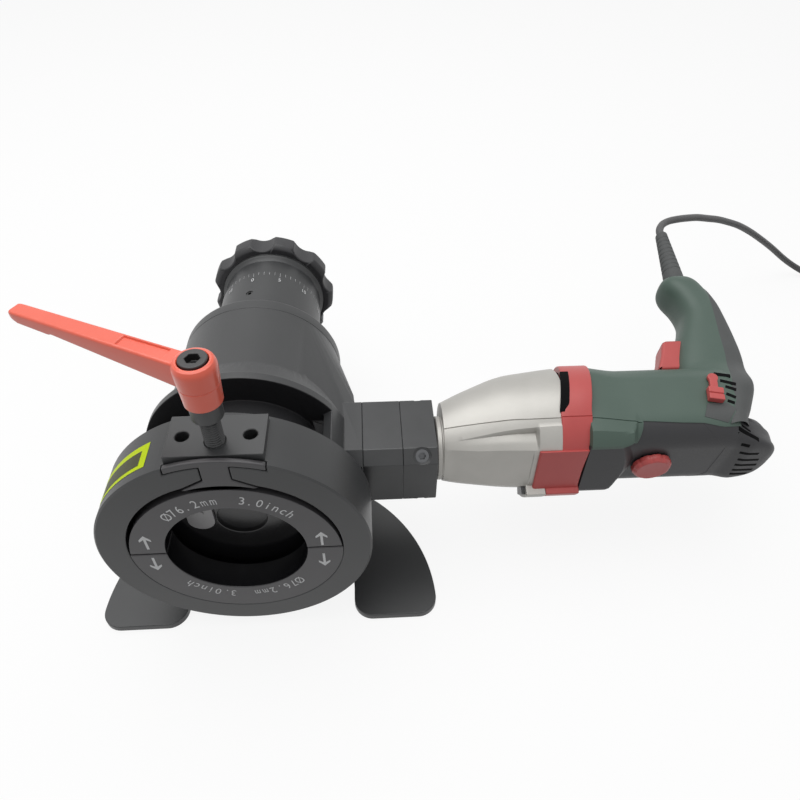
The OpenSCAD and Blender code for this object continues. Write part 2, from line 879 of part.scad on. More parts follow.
// Straight tool bar beside the spindle, with a round tip
module tool_outline(room, y0, y1) {
    half = (tool_x[1] - tool_x[0]) / 2;
    translate([tool_x[0] + half, 0, tool_tip]) rod_y(half + room, y0, y1);
    box([tool_x[0] - room, y0, tool_tip], [tool_x[1] + room, y1, tool_top + room]);
}

module at_tool_screws() {
    for (z = tool_screw_z) translate([(tool_x[0] + tool_x[1]) / 2, 0, z]) children();
}

module tool_holder() {
    color(steel) difference() {
        tool_outline(0, tool_y + 2, cutter_y + 4 - seat);
        at_tool_screws() rod_y(tool_screw_r, 0, ring_w);
    }
}

module cutting_insert() {
    color(brass) {
        box([tool_x[0] + 2, tool_y, insert_z[0]], [tool_x[1] - 2, tool_y + 2, insert_z[1]]);
        at_tool_screws() rod_y(tool_screw_r - seat, tool_y + 1.4, cutter_y + 4 - 2 * seat);
    }
}

module spindle_bearings() {
    color(zinc) {
        tube_y(spindle_r + run, front_seat_r - seat, hub_wall_y + front_lip, chamber_y0 - 0.2);
        for (y = crown_bearing_y) tube_y(crown_hub_r + run, bearing_seat_r - seat, y, y + crown_bearing_w);
    }
}

module crown_gear() {
    far_r = crown_rim_r * crown_grow;
    color(steel) difference() {
        union() {
            intersection() {
                translate([0, crown_web_y, 0]) rotate([90, 0, 0]) rotate(180 / crown_teeth)
                    linear_extrude(crown_web_y - crown_near_y, scale = cone_near / (cone_far * crown_grow))
                        polygon(tooth_ring(crown_teeth, far_r, crown_root_r * crown_grow));
                rod_y(crown_rim_r, drive_y, crown_web_y + over);
            }
            rod_y(crown_rim_r + 0.5, crown_web_y - eps, crown_web_y + crown_web);
            rod_y(crown_hub_r, crown_web_y, crown_hub_y1);
        }
        rod_y(spindle_r + run, 0, body_end);
        box([-key_w / 2 - gap, 0, 0], [key_w / 2 + gap, body_end, spindle_r + key_h + gap]);
    }
}

// Feed

module at_cover_screws() {
    for (k = [0:5]) rotate([0, 60 * k + 30, 0]) translate([cover_screw_ring, 0, 0]) children();
}

module rear_cover() {
    y1 = sleeve_y0;
    color(ink) difference() {
        turned_y([[spigot_r, spigot_y], [bearing_seat_r - 0.1, spigot_y], [bearing_seat_r - 0.1, body_end],
            [body_r, body_end], [body_r, y1 - 3], [body_r - 0.9, y1 - 0.9], [body_r - 3, y1],
                [spindle_r + gap, y1],
            [spindle_r + gap, body_end], [spigot_r, body_end]]);
        at_cover_screws() {
            rod_y(cover_screw_r + seat, body_end - over, y1 + over);
            rod_y(cover_head_r + seat, y1 - cover_head_h, y1 + over);
        }
    }
}

module rear_cover_screws() {
    y1 = sleeve_y0;
    color(rubber) at_cover_screws() difference() {
        union() {
            rod_y(cover_screw_r, body_end - cover_screw_l + 1, y1 - cover_head_h + eps);
            rod_y(cover_head_r, y1 - cover_head_h, y1 - 0.3);
        }
        translate([0, y1 - 3, 0]) rotate([-90, 0, 0]) cylinder(r = 2.3, h = 4, $fn = 6);
    }
}

module feed_sleeve() {
    color(ink) turned_y([[carrier_r + run, sleeve_y0], [sleeve_r - 1, sleeve_y0], [sleeve_r, sleeve_y0 + 1],
        [sleeve_r, dial_y0 - 0.3], [guide_r, dial_y0 - 0.3], [guide_r, guide_y1],
            [carrier_r + run, guide_y1]]);
}

module feed_carrier() {
    color(steel) difference() {
        rod_y(carrier_r, carrier_y0, carrier_y1);
        rod_y(thrust_r + seat, carrier_y0 - over, thrust_y1);
        rod_y(nut_r + 1, carrier_y0, nut_room);
        rod_y(screw_r + run, carrier_y0, carrier_y1 + over);
    }
}

module thrust_bearing() {
    color(zinc) tube_y(journal_r + run, thrust_r, thrust_y0 + 0.1, thrust_y1 - 0.1);
}

module feed_screw() {
    color(steel) rod_y(screw_r, screw_y0, knob_y0 + knob_stub_l - 2);
}

module knob_hub() {
    color(ink) difference() {
        turned_y([[0, dial_y1], [knob_hub_r, dial_y1], [knob_hub_r, knob_y0 - knob_flare - 1.5],
            [knob_hub_r + 0.6, knob_y0 - knob_flare], [knob_hub_r + knob_flare, knob_y0 - 0.6],
            [knob_hub_r + knob_flare, knob_y0], [knob_stub_r, knob_y0],
            [knob_stub_r, knob_y0 + knob_stub_l], [0, knob_y0 + knob_stub_l]]);
        rod_y(screw_r + seat, 0, knob_y0 + knob_stub_l - 2 + seat);
    }
}

module at_dial_screw() {
    rotate([0, dial_screw_turn, 0]) translate([0, dial_screw_y, 0]) children();
}

module dial_ring() {
    color(ink) difference() {
        turned_y([[guide_r + run, dial_y0], [sleeve_r - 0.6, dial_y0], [sleeve_r, dial_y0 + 0.6],
            [sleeve_r, dial_y1 - 1], [sleeve_r - 1, dial_y1], [guide_r + run, dial_y1]]);
        at_dial_screw() rod_z(dial_screw_r + seat, guide_r + 0.5, ring_r);
    }
}

module dial_set_screw() {
    color(rubber) at_dial_screw() difference() {
        rod_z(dial_screw_r, guide_r + 0.6, sleeve_r - 0.6);
        hex_hole(2.5, sleeve_r - 0.6, 2.5);
    }
}

module feed_knob() {
    c = 3;
    color(blued) difference() {
        turned_y([[knob_stub_r, knob_y0], [knob_r - c, knob_y0], [knob_r, knob_y0 + c],
            [knob_r, knob_y1 - c],
            [knob_r - c, knob_y1], [knob_r - 12, knob_y1], [knob_r - 16, knob_y1 - 4],
                [knob_stub_r, knob_y1 - 4]]);
        rod_y(knob_stub_r + seat, 0, knob_y1 + over);
        for (k = [0:knob_lobes - 1]) rotate([0, knob_phase + k * 360 / knob_lobes, 0])
            translate([knob_r - scallop_depth + scallop_r, 0, 0])
                rod_y(scallop_r, knob_y0 - over, knob_y1 + over);
    }
}

module knob_cap() {
    color(rubber) rod_y(knob_stub_r - 0.1, knob_y0 + knob_stub_l, knob_y1 - 3);
}

// Angle drive

module at_block_screws() {
    y = block_y / 2 - block_head_r - 0.7;
    z = block_head_r + 3;
    for (a = [-1, 1], b = [-1, 1]) translate([0, drive_y + a * y, b * z]) children();
}

module gear_block() {
    color(blued) difference() {
        drive_section(gear_block_x, block_x1);
        translate([0, drive_y, 0]) rod_x(pinion_seat_r, 0, block_x2);
        at_block_screws() rod_x(block_screw_r + seat, 0, block_x2);
    }
}

// Each set screw stands square to the chamfer that it enters
module at_set_screws() {
    y = (block_y - block_c) / 2;
    z = (block_z - block_c) / 2;
    for (a = [-1, 1], b = [-1, 1])
        translate([set_screw_x, drive_y + a * y, b * z]) rotate([b > 0 ? -45 * a : 180 + 45 * a, 0, 0])
            children();
}

function set_screw_depth() =
    (block_y + block_z - 2 * block_c) / 2 / sqrt(2) - nose_r;

module drill_clamp() {
    color(blued) difference() {
        drive_section(block_x1, block_x2);
        translate([0, drive_y, 0]) {
            rod_x(nose_r + seat, nose_x0 - 0.3, block_x2 + over);
            rod_x(coupling_r + 1, 0, block_x2);
        }
        at_set_screws() {
            rod_z(set_screw_r + seat, -set_screw_depth() - 3, over);
            rod_z(set_screw_spot_r, -0.8, 4);
        }
        at_block_screws() {
            rod_x(block_screw_r + seat, 0, block_x2 + over);
            rod_x(block_head_r + seat, block_x2 - block_head_h, block_x2 + over);
        }
    }
}

module block_screws() {
    color(rubber) at_block_screws() difference() {
        union() {
            rod_x(block_screw_r, gear_block_x - block_screw_l + 1, block_x2 - block_head_h + eps);
            rod_x(block_head_r, block_x2 - block_head_h, block_x2 - 0.3);
        }
        translate([block_x2 - 3, 0, 0]) rotate([0, 90, 0]) cylinder(r = 1.7, h = 4, $fn = 6);
    }
}

module clamp_set_screws() {
    color(steel) at_set_screws() difference() {
        rod_z(set_screw_r, -set_screw_depth() + 0.1, -1.2);
        hex_hole(4, -1.2, 4);
    }
}

module pinion_gear() {
    near = cone_near / cone_far;
    color(steel) translate([0, drive_y, 0]) {
        translate([cone_far, 0, 0]) rotate([0, -90, 0]) linear_extrude(cone_far - cone_near, scale = near)
            polygon(tooth_ring(pinion_teeth, pinion_pitch_r + bevel_add / cos(pinion_tilt),
                pinion_pitch_r - bevel_ded / cos(pinion_tilt)));
        rod_x(shaft_r, cone_far - eps, shaft_end);
    }
}

module pinion_bearings() {
    color(zinc) translate([0, drive_y, 0]) for (x = [neck_x + 2, gear_block_x + 5])
        tube_x(shaft_r + run, pinion_seat_r - seat, x, x + 10);
}

module drive_coupling() {
    color(blued) translate([0, drive_y, 0]) difference() {
        rod_x(coupling_r, coupling_x[0], coupling_x[1]);
        rod_x(shaft_r + seat, coupling_x[0] - over, shaft_end + seat);
        rod_x(out_r + seat, bit_x0 - seat, coupling_x[1] + over);
    }
}

// Drill

module case_hull(inset, x_in, x_out) {
    last = len(case_discs) - 1;
    hull() for (i = [0:last]) let(d = case_discs[i], x = i == 0 ? d[0] + x_in : i == last ? d[0] +
        x_out : d[0])
        rod_x(d[2] - inset, x, x + eps, d[1], 0, $fn = 48);
}

module gear_case() {
    color(zinc) drill_frame() difference() {
        union() {
            case_hull(0, 0, -eps);
            rod_x(nose_r, nose_x0, case_x0 + over);
            rod_x(flange_r, block_x2 + 0.2, case_x0 + over);
            intersection() {
                rod_x(red_r + rail_h + 0.4, red_step_x - 8, rail_x - 0.1, red_v);
                box([0, -2 * red_r, rail_w[0]], [case_x1, red_step_v, rail_w[1] - 0.1]);
            }
        }
        difference() {
            case_hull(case_wall, case_wall + 4, over);
            box([web_x[0], -ring_r, -ring_r], [web_x[1], ring_r, ring_r]);
        }
        rod_x(coupling_r + 1, 0, out_bush_x);
        rod_x(out_r + run, 0, case_x1);
        rod_x(lay_shaft_r + run, web_x[0] + 2, case_x1, lay_v, lay_w);
    }
}

module red_ring() {
    color(red) drill_frame() difference() {
        union() {
            rod_x(red_r, case_x1 + 0.1, red_x1, red_v);
            intersection() {
                rod_x(red_r + 1.5, red_step_x, red_x1, red_v);
                union() {
                    box([0, -2 * red_r, rail_w[1]], [red_x1, red_step_v, 30]);
                    box([rail_x, -2 * red_r, rail_w[0]], [red_x1, red_step_v, 0]);
                }
            }
            intersection() {
                rod_x(red_r + rail_h, rail_x, red_x1 - 6, red_v);
                box([0, -2 * red_r, rail_w[0]], [red_x1, red_step_v, rail_w[1]]);
            }
        }
        case_hull(-seat, -over, seat);
        rod_x(red_r - 6, case_x1 - over, plate_x, red_v);
        rod_x(red_r - 6, plate_x + plate_l, red_x1 + over, red_v);
        rod_x(arm_bearing_r, 0, red_x1, motor_v);
        rod_x(lay_shaft_r + run, 0, red_x1, lay_v, lay_w);
    }
}

module output_spindle() {
    color(steel) translate([0, drive_y, 0]) {
        rod_x(out_r, bit_x0, out_gear_x + out_gear_l + 1);
        rotate([drill_roll, 0, 0]) spur(out_teeth, out_gear_x, out_gear_l, atan2(lay_w, lay_v));
    }
}

module lay_shaft() {
    towards_out = atan2(-lay_w, -lay_v);
    towards_arm = atan2(-lay_w, motor_v - lay_v);
    color(steel) drill_frame() translate([0, lay_v, lay_w]) {
        rod_x(lay_shaft_r, web_x[0] + 2.3, plate_x + plate_l);
        spur(lay_small, out_gear_x + 1, out_gear_l - 2, towards_out + 180 / lay_small);
        spur(lay_big, lay_gear_x, lay_gear_l, towards_arm);
        rod_x(6, out_gear_x + out_gear_l + 1.5, lay_gear_x + eps);
        rod_x(4.2, out_gear_x + out_gear_l - 2, lay_gear_x);
    }
}

module armature() {
    towards_lay = atan2(lay_w, lay_v - motor_v);
    color(brass) drill_frame() translate([0, motor_v, 0]) {
        rod_x(arm_shaft_r, plate_x - 1, rear_bearing_x + rear_bearing_l);
        rod_x(2.8, lay_gear_x - 1, plate_x);
        spur(arm_teeth, lay_gear_x - 1, plate_x - lay_gear_x - 2, towards_lay + 180 / arm_teeth);
        rod_x(arm_core_r, stator_x[0] + 1, stator_x[1] - 1);
        rod_x(fan_r, fan_x, fan_x + 2);
        for (k = [0:15]) rotate([22.5 * k, 0, 0]) box([fan_x + 1, 9, -0.6], [fan_x + 8, fan_r, 0.6]);
        rod_x(comm_r, comm_x, comm_x + 11);
    }
}

module armature_bearings() {
    color(zinc) drill_frame() {
        tube_x(arm_shaft_r + run, arm_bearing_r - seat, plate_x, plate_x + plate_l, motor_v);
        tube_x(arm_shaft_r + run, arm_bearing_r - seat, rear_bearing_x, rear_bearing_x + rear_bearing_l,
            motor_v);
    }
}

module stator() {
    color(steel) drill_frame() difference() {
        intersection() {
            rod_x(stator_r, stator_x[0], stator_x[1], motor_v);
            box([0, -ring_r, -motor_half + drill_wall + seat],
                [drill_end, ring_r, motor_half - drill_wall - seat]);
            box([0, cover_flat + drill_wall + 0.1, -ring_r], [drill_end, ring_r, ring_r]);
        }
        rod_x(arm_core_r + 0.6, 0, drill_end, motor_v);
    }
}

module brush_holders() {
    color(brass) drill_frame() for (s = [-1, 1])
        box([comm_x + 2, motor_v - 4, s > 0 ? comm_r + 0.3 : -motor_half + drill_wall + 0.1],
            [comm_x + 10, motor_v + 4, s > 0 ? motor_half - drill_wall - 0.1 : -comm_r - 0.3]);
}

// Motor housing: round towards the grip, with flat sides and two rounded corners below
module motor_form(inset, x0, x1) {
    c = motor_corner - inset;
    low = cover_flat + inset;
    side = motor_half - inset;
    intersection() {
        rod_x(motor_r - inset, x0, x1, motor_v);
        box([x0, low, -side], [x1, ring_r, side]);
    }
    box([x0, low + c, -side], [x1, motor_v, side]);
    box([x0, low, c - side], [x1, motor_v, side - c]);
    for (s = [-1, 1]) rod_x(c, x0, x1, low + c, s * (side - c));
}

// Full round chin behind the red ring, which tapers into the housing
module chin_form(inset) {
    rod_x(chin_r - inset, red_x1 + 0.1, chin_x[0], red_v);
    translate([chin_x[0] - eps, red_v, 0]) rotate([0, 90, 0])
        cylinder(r1 = chin_r - inset, r2 = red_v - cover_flat - 0.4 - inset, h = chin_x[1] - chin_x[0]);
}

function grip_outline() = concat(curve(grip_front), curve(grip_line));
function strap_outline() = concat(curve(grip_back), reversed(curve(grip_line)));

function full_outline() = concat(curve(grip_front), curve(grip_back));

// Grip with its edge rounded in steps
module grip_form(points, inset, half) {
    for (e = grip_edge) let(h = half - e[1] - inset)
        translate([0, 0, -h]) linear_extrude(2 * h) offset(r = -e[0] - inset, $fn = 24) polygon(points);
}

module grip_region(points, room) {
    linear_extrude(2 * ring_r, center = true) offset(r = room, $fn = 24) polygon(points);
}

module handle_half(side) {
    color(green) drill_frame() difference() {
        intersection() {
            union() {
                motor_form(0, red_x1 + 0.1, motor_x1);
                intersection() {
                    grip_form(full_outline(), 0, grip_half);
                    grip_region(grip_outline(), 0);
                }
            }
            box([0, cover_line, side > 0 ? 0.05 : -ring_r], [drill_end + 20, 2 * ring_r,
                side > 0 ? ring_r : -0.05]);
        }
        motor_form(drill_wall, red_x1 - over, rear_bearing_x - 1);
        rod_x(arm_bearing_r, rear_bearing_x - over, rear_bearing_x + rear_bearing_l + 0.2, motor_v);
        grip_form(grip_outline(), grip_cut, grip_half);
        box([trigger_x[0] - 8, trigger_v[0] - gap, -trigger_half - gap],
            [trigger_x[1] + trigger_travel + gap, trigger_v[1] + gap, trigger_half + gap]);
        translate([lever_pin[0], lever_pin[1], 0]) rod_z(lever_pin_r + run, 0, ring_r);
        sleeve_form(seat, sleeve_hold + 1);
        at_shell_screws() rod_z(shell_screw_r + seat, -ring_r, shell_screw_top + 0.2);
        at_shell_screws() rod_z(shell_head_r + seat, -ring_r, -grip_half + 5);
        vent_cover_room();
    }
}

module handle_shell_upper() {
    handle_half(1);
}

module handle_shell_lower() {
    handle_half(-1);
}

module vent_cover_room() {
    box([plate_slot_x[0], plate_slot_v[0], motor_half - 1.2],
        [plate_slot_x[1], plate_slot_v[1], motor_half + over]);
}

module motor_cover() {
    color(rubber) drill_frame() difference() {
        union() {
            intersection() {
                union() {
                    motor_form(0, red_x1 + 0.1, motor_x1 + 0.2);
                    chin_form(0);
                }
                box([0, -ring_r, -motor_half], [drill_end, cover_line - 0.1, motor_half]);
            }
            intersection() {
                hull() {
                    for (s = [-1, 1]) {
                        rod_x(motor_corner, cap_x, cap_x + eps, cover_flat + motor_corner,
                            s * (motor_half - motor_corner), $fn = 48);
                        rod_x(motor_corner, motor_x1 + 5, motor_x1 + 12, cap_v + motor_corner,
                            s * (motor_half - motor_corner - 1), $fn = 48);
                        rod_x(12, drill_end - 10, drill_end - 7, cap_v + 15, s * 13, $fn = 48);
                    }
                    rod_x(15, motor_x1 + 8, drill_end - 10, -4, $fn = 48);
                    rod_x(11, drill_end - 9, drill_end - 3, -5, $fn = 48);
                    rod_x(5, drill_end - eps, drill_end, -6, $fn = 48);
                }
                union() {
                    box([0, cap_v, -motor_half], [drill_end, cover_line - 0.1, motor_half]);
                    box([motor_x1 + 0.2, cover_line - 1, -motor_half], [drill_end, 12, motor_half]);
                }
            }
        }
        motor_form(drill_wall, red_x1 - over, rear_bearing_x - 1);
        intersection() {
            chin_form(drill_wall);
            box([red_x1 - over, -ring_r, drill_wall - motor_half],
                [drill_end, ring_r, motor_half - drill_wall]);
        }
        grip_region(strap_outline(), gap);
        grip_region(grip_outline(), gap);
        translate([knob_x, 0, 0]) rotate([90, 0, 0]) cylinder(r = speed_pin_r + run, h = ring_r);
        for (k = [-2.5:2.5]) box([motor_x1 + 2, -ring_r, cap_slot_pitch * k - cap_slot_w / 2],
            [motor_x1 + 13, cap_v + 2.5, cap_slot_pitch * k + cap_slot_w / 2]);
    }
}

module back_strap() {
    color(rubber) drill_frame() difference() {
        intersection() {
            grip_form(full_outline(), 0, grip_half);
            grip_region(strap_outline(), 0);
            box([0, cover_line, -ring_r], [drill_end + 20, 2 * ring_r, ring_r]);
        }
        motor_form(-0.1, red_x1, motor_x1 + 0.1);
        grip_region(grip_outline(), 0.1);
    }
}

module vent_covers() {
    color(rubber) drill_frame() {
        box([plate_slot_x[0] + 0.2, plate_slot_v[0] + 0.2, motor_half - 1.2],
            [plate_slot_x[1] - 0.2, plate_slot_v[1] - 0.2, motor_half + 0.6]);
        intersection() {
            difference() {
                case_hull(-0.7, 0, 0);
                case_hull(-0.1, 0, 0);
            }
            box([case_x1 - 6.5, 1, 20], [case_x1 - 0.3, 31, ring_r]);
        }
    }
}

module at_shell_screws() {
    for (p = [[300, 38], [312, 94], [311, 124]]) translate([p[0], p[1], 0]) children();
}

module shell_screws() {
    color(steel) drill_frame() at_shell_screws() {
        rod_z(shell_screw_r, -grip_half + 2, shell_screw_top);
        rod_z(shell_head_r, -grip_half + 2, -grip_half + 5 - seat);
    }
}

module trigger() {
    color(red) drill_frame() translate([0, 0, -trigger_half]) linear_extrude(2 * trigger_half)
        polygon(trigger_outline);
}

module reversing_lever() {
    z0 = motor_half + 0.3;
    color(red) drill_frame() translate([lever_pin[0], lever_pin[1], 0]) {
        rotate(-lever_rest) difference() {
            union() {
                rod_z(3.2, z0, z0 + 2.5);
                box([-2.4, -9.5, z0], [2.4, 0, z0 + 2.5]);
                box([-4.6, -18.2, z0], [4.6, -8.8, z0 + 4.2]);
            }
            box([-6, -14, z0 + 3.2], [6, -13.2, z0 + 6]);
        }
        rod_z(lever_pin_r, motor_half - drill_wall - 2, z0 + eps);
    }
}

module speed_knob() {
    v0 = cover_flat - 0.3;
    color(red) drill_frame() translate([knob_x, 0, 0]) {
        translate([0, v0, 0]) rotate([90, 0, 0]) difference() {
            cylinder(r = speed_knob_d / 2, h = speed_knob_h);
            for (k = [0:11]) rotate(30 * k) translate([speed_knob_d / 2 + 1, 0, 1])
                cylinder(r = 2, h = speed_knob_h);
        }
        translate([0, v0, 0]) rotate([-90, 0, 0]) cylinder(r = speed_pin_r, h = drill_wall);
    }
}

module switch_module() {
    x0 = trigger_x[1] + trigger_travel + 1;
    color(rubber) drill_frame() intersection() {
        box([x0, trigger_v[0] - 8, -12], [x0 + 8, trigger_v[1] + 8, 12]);
        grip_form(grip_outline(), grip_cut + 0.1, grip_half);
    }
}

// Mains lead

module sleeve_form(room, extra) {
    run_v = cord_sleeve_l + extra;
    translate([sleeve_foot[0] - sleeve_lean * extra, sleeve_foot[1] - extra, 0])
        rotate([-90, 0, 0]) rotate([0, atan(sleeve_lean), 0])
            cylinder(r1 = 8 + room, r2 = cord_r + 2.2 + room, h = run_v / cos(atan(sleeve_lean)));
}

module cord_sleeve() {
    color(rubber) drill_frame() sleeve_form(0, sleeve_hold);
}

module cord_tube() {
    color(rubber) swept_tube(curve(cord_route, 3), cord_r, cord_sides, [0, 0, 1]);
}

// Distance from the coil's middle rises and falls at a steady rate, one sweep for each layer
function coil_radius(t) =
    let(u = t / coil_turns, k = floor(u), f = u - k) k % 2 == 0 ? coil_r1 - f * (coil_r1 - coil_r0)
        : coil_r0 + f * (coil_r1 - coil_r0);
function climb(t, at) = let(f = min(max((t - at) / 0.5 + 0.5, 0), 1)) f * f * (3 - 2 * f);
function coil_height(t) =
    coil_z + coil_layer * (climb(t, coil_turns) + climb(t, 2 * coil_turns) + climb(t, 3 * coil_turns));
coil_total = coil_layers * coil_turns;
plug_start = [coil_c[0] - coil_r1, coil_c[1] - plug_run, plug_z];
function coil_path() = concat(
    [coil_start],
    [for (k = [0:coil_total * coil_rings]) let(t = k / coil_rings, a = 180 + 360 * t)
        [coil_c[0] + coil_radius(t) * cos(a), coil_c[1] + coil_radius(t) * sin(a), coil_height(t)]],
    [for (f = [0, 0.33, 0.67]) [plug_start[0], coil_c[1] - plug_level - f * (plug_run - plug_level
        - cord_d),
        coil_height(coil_total) + f * f * (3 - 2 * f) * (plug_z - coil_height(coil_total))]],
    [plug_start + [0, cord_d, 0], plug_start]
);

module cord_coil() {
    color(rubber) swept_tube(coil_path(), cord_r, coil_sides, [0, 0, 1]);
}

// Least gap between turns of the coil, measured between points at least three quarters of a turn apart
coil_gap = let(p = coil_path(), n = len(p)) min([
    for (i = [0:2:n - 1]) let(d = [for (j = [i + 18:1:n - 1]) norm(p[i] - p[j])]) len(d) > 0 ? min(d) : 1000
]) - cord_d;
echo(coil_gap = coil_gap);

module cord_tie() {
    x0 = coil_c[0] + coil_r0 + coil_step / 2 - cord_r - 1.1;
    x1 = coil_c[0] + coil_r1 - coil_step / 2 + cord_r + 0.3;
    z1 = coil_z + (coil_layers - 1) * coil_layer + cord_r + 0.2;
    color(blued) difference() {
        box([x0 - tie_t, coil_c[1] - tie_w / 2, table_z + 0.2],
            [x1 + tie_t, coil_c[1] + tie_w / 2, z1 + tie_t]);
        box([x0, coil_c[1] - tie_w, table_z + 0.2 + tie_t], [x1, coil_c[1] + tie_w, z1]);
    }
}

module mains_plug() {
    y0 = plug_start[1];
    color(rubber) translate([plug_start[0], 0, plug_z]) rotate([0, 0, 180]) translate([0, -2 * y0, 0])
        translate([0, y0, 0]) {
            turned_y([[0, 0], [cord_r + 2, 0], [7, plug_neck_l], [plug_r, plug_neck_l + 6],
                [plug_r, plug_neck_l + plug_l - 2], [plug_r - 2, plug_neck_l + plug_l],
                    [0, plug_neck_l + plug_l]]);
            for (s = [-1, 1]) translate([s * plug_pin_span / 2, 0, 0])
                rod_y(plug_pin_r, plug_neck_l + plug_l - over, plug_neck_l + plug_l + plug_pin_l);
        }
}

base_plate();
base_saddle();
base_screws();
head_casting();
lower_collet();
upper_collet();
clamp_slider();
clamp_stud();
lever_insert();
lever_cap_screw();
lever_spring();
lever_handle();
spindle();
cutter_head();
tool_holder();
cutting_insert();
spindle_bearings();
crown_gear();
rear_cover();
rear_cover_screws();
feed_sleeve();
feed_carrier();
thrust_bearing();
feed_screw();
knob_hub();
dial_ring();
dial_set_screw();
feed_knob();
knob_cap();
gear_block();
drill_clamp();
block_screws();
clamp_set_screws();
pinion_gear();
pinion_bearings();
drive_coupling();
output_spindle();
lay_shaft();
gear_case();
red_ring();
armature();
armature_bearings();
stator();
brush_holders();
handle_shell_upper();
handle_shell_lower();
motor_cover();
back_strap();
vent_covers();
shell_screws();
trigger();
reversing_lever();
speed_knob();
switch_module();
cord_sleeve();
cord_tube();
cord_coil();
cord_tie();
mains_plug();
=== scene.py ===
"""Looks of an electric tube facer.

A clamp holds the end of a tube in front of a facing cutter, which a hand drill turns through an angle drive.
"""
import json
import math

import bmesh
import bpy
import numpy as np
from mathutils import Matrix, Vector

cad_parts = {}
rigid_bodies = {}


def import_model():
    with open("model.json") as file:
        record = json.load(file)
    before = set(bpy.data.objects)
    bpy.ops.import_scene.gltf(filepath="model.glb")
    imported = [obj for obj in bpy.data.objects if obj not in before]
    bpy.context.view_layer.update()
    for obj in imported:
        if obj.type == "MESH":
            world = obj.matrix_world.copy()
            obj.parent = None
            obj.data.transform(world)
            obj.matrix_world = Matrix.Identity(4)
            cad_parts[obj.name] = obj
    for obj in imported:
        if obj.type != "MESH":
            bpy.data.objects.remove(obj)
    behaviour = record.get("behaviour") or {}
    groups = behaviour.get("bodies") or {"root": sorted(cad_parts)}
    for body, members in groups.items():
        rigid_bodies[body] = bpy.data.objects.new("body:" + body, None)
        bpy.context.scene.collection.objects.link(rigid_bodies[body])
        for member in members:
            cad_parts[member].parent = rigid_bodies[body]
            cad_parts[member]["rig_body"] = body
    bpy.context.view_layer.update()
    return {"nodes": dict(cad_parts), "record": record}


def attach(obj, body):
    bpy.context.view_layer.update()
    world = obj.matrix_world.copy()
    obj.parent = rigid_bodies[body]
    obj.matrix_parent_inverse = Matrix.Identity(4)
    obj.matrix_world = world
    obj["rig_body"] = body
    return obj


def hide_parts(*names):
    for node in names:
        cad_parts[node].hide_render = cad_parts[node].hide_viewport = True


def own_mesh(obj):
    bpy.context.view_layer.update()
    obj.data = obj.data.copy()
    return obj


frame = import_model()
nodes = frame["nodes"]
slot_of = {part["node"]: part["material_slot"] for part in frame["record"]["subparts"]}
scene = bpy.context.scene

# Lengths below are in millimetres unless a name says otherwise
MM = 0.001
TABLE_Z = -84.0

# Drill frame: x along its axis, v towards the end of the grip, w to the side that faces up
DRIVE_Y = 70.0
DRILL_ROLL = math.radians(10)
DRILL = Matrix.Translation((0, DRIVE_Y, 0)) @ Matrix.Rotation(DRILL_ROLL, 4, "X")


# Camera

CAMERA_PLACE = Vector((75.4, -203.6, 307.1))
CAMERA_LENS, CAMERA_SENSOR = 29.25, 36
CAMERA_YAW, CAMERA_PITCH, CAMERA_ROLL = (math.radians(a) for a in (3.62, 43.92, 0.65))
NEAREST_SEEN = 10.0


def photo_camera():
    """Camera at the photograph's place, turned the same way."""
    ahead = Vector((math.sin(CAMERA_YAW) * math.cos(CAMERA_PITCH), math.cos(CAMERA_YAW) * math.cos(CAMERA_PITCH),
                    -math.sin(CAMERA_PITCH)))
    level = Vector((math.cos(CAMERA_YAW), -math.sin(CAMERA_YAW), 0))
    right = level * math.cos(CAMERA_ROLL) + level.cross(ahead) * math.sin(CAMERA_ROLL)
    data = bpy.data.cameras.new("photo_camera")
    data.lens = CAMERA_LENS
    data.sensor_width = CAMERA_SENSOR
    data.clip_start = NEAREST_SEEN * MM
    camera = placed("photo_camera", data)
    turn = Matrix((right, right.cross(ahead), -ahead)).transposed()
    camera.matrix_world = Matrix.Translation(CAMERA_PLACE * MM) @ turn.to_4x4()
    scene.camera = camera


# Shared shape helpers

# Faces that meet at more than this many degrees keep a crisp edge
CREASE = 24
# Edges that turn by more than this many degrees are rounded
EDGE_TURN = 30
# Points nearer to each other than this are one point, in the scene's own meshes and in those of the solids
WELD, CAD_WELD = 0.002, 0.003
# Faces of the solids within this many degrees of each other are one flat face
CAD_FLAT = 0.5
# How far large faces outweigh small ones in the shading; 50 is even
FLAT_WEIGHT = 60
# Points round a turned form
ROUND_SIDES = 96


def ease(f):
    """Smooth step from 0 to 1."""
    f = min(max(f, 0.0), 1.0)
    return f * f * (3 - 2 * f)


def spread(a, b, count):
    """Even steps from one value towards another, which is left out."""
    return [a + (b - a) * k / count for k in range(count)]


def level_at(line, x):
    """Height at one x of a line through (x, height) points."""
    return float(np.interp(x, *zip(*line)))


def smooth_through(points, steps):
    """Points of a smooth curve that passes through the given ones."""
    made = []
    for i in range(len(points) - 1):
        a, b, c, d = (points[max(i - 1, 0)], points[i], points[i + 1], points[min(i + 2, len(points) - 1)])
        for k in range(steps):
            t = k / steps
            made.append(0.5 * (2 * b + (c - a) * t + (2 * a - 5 * b + 4 * c - d) * t * t
                               + (3 * b - 3 * c + d - a) * t ** 3))
    return made + [points[-1]]


def placed(name, data):
    """Adds an object to the scene."""
    made = bpy.data.objects.new(name, data)
    scene.collection.objects.link(made)
    return made


def show(name, mesh, body, slot, replaced=()):
    """Adds a mesh as a piece that rides a body, with the finish of a material slot."""
    made = placed(name, mesh)
    mesh.materials.clear()
    mesh.materials.append(looks[slot])
    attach(made, body)
    if replaced:
        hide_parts(*replaced)
    return made


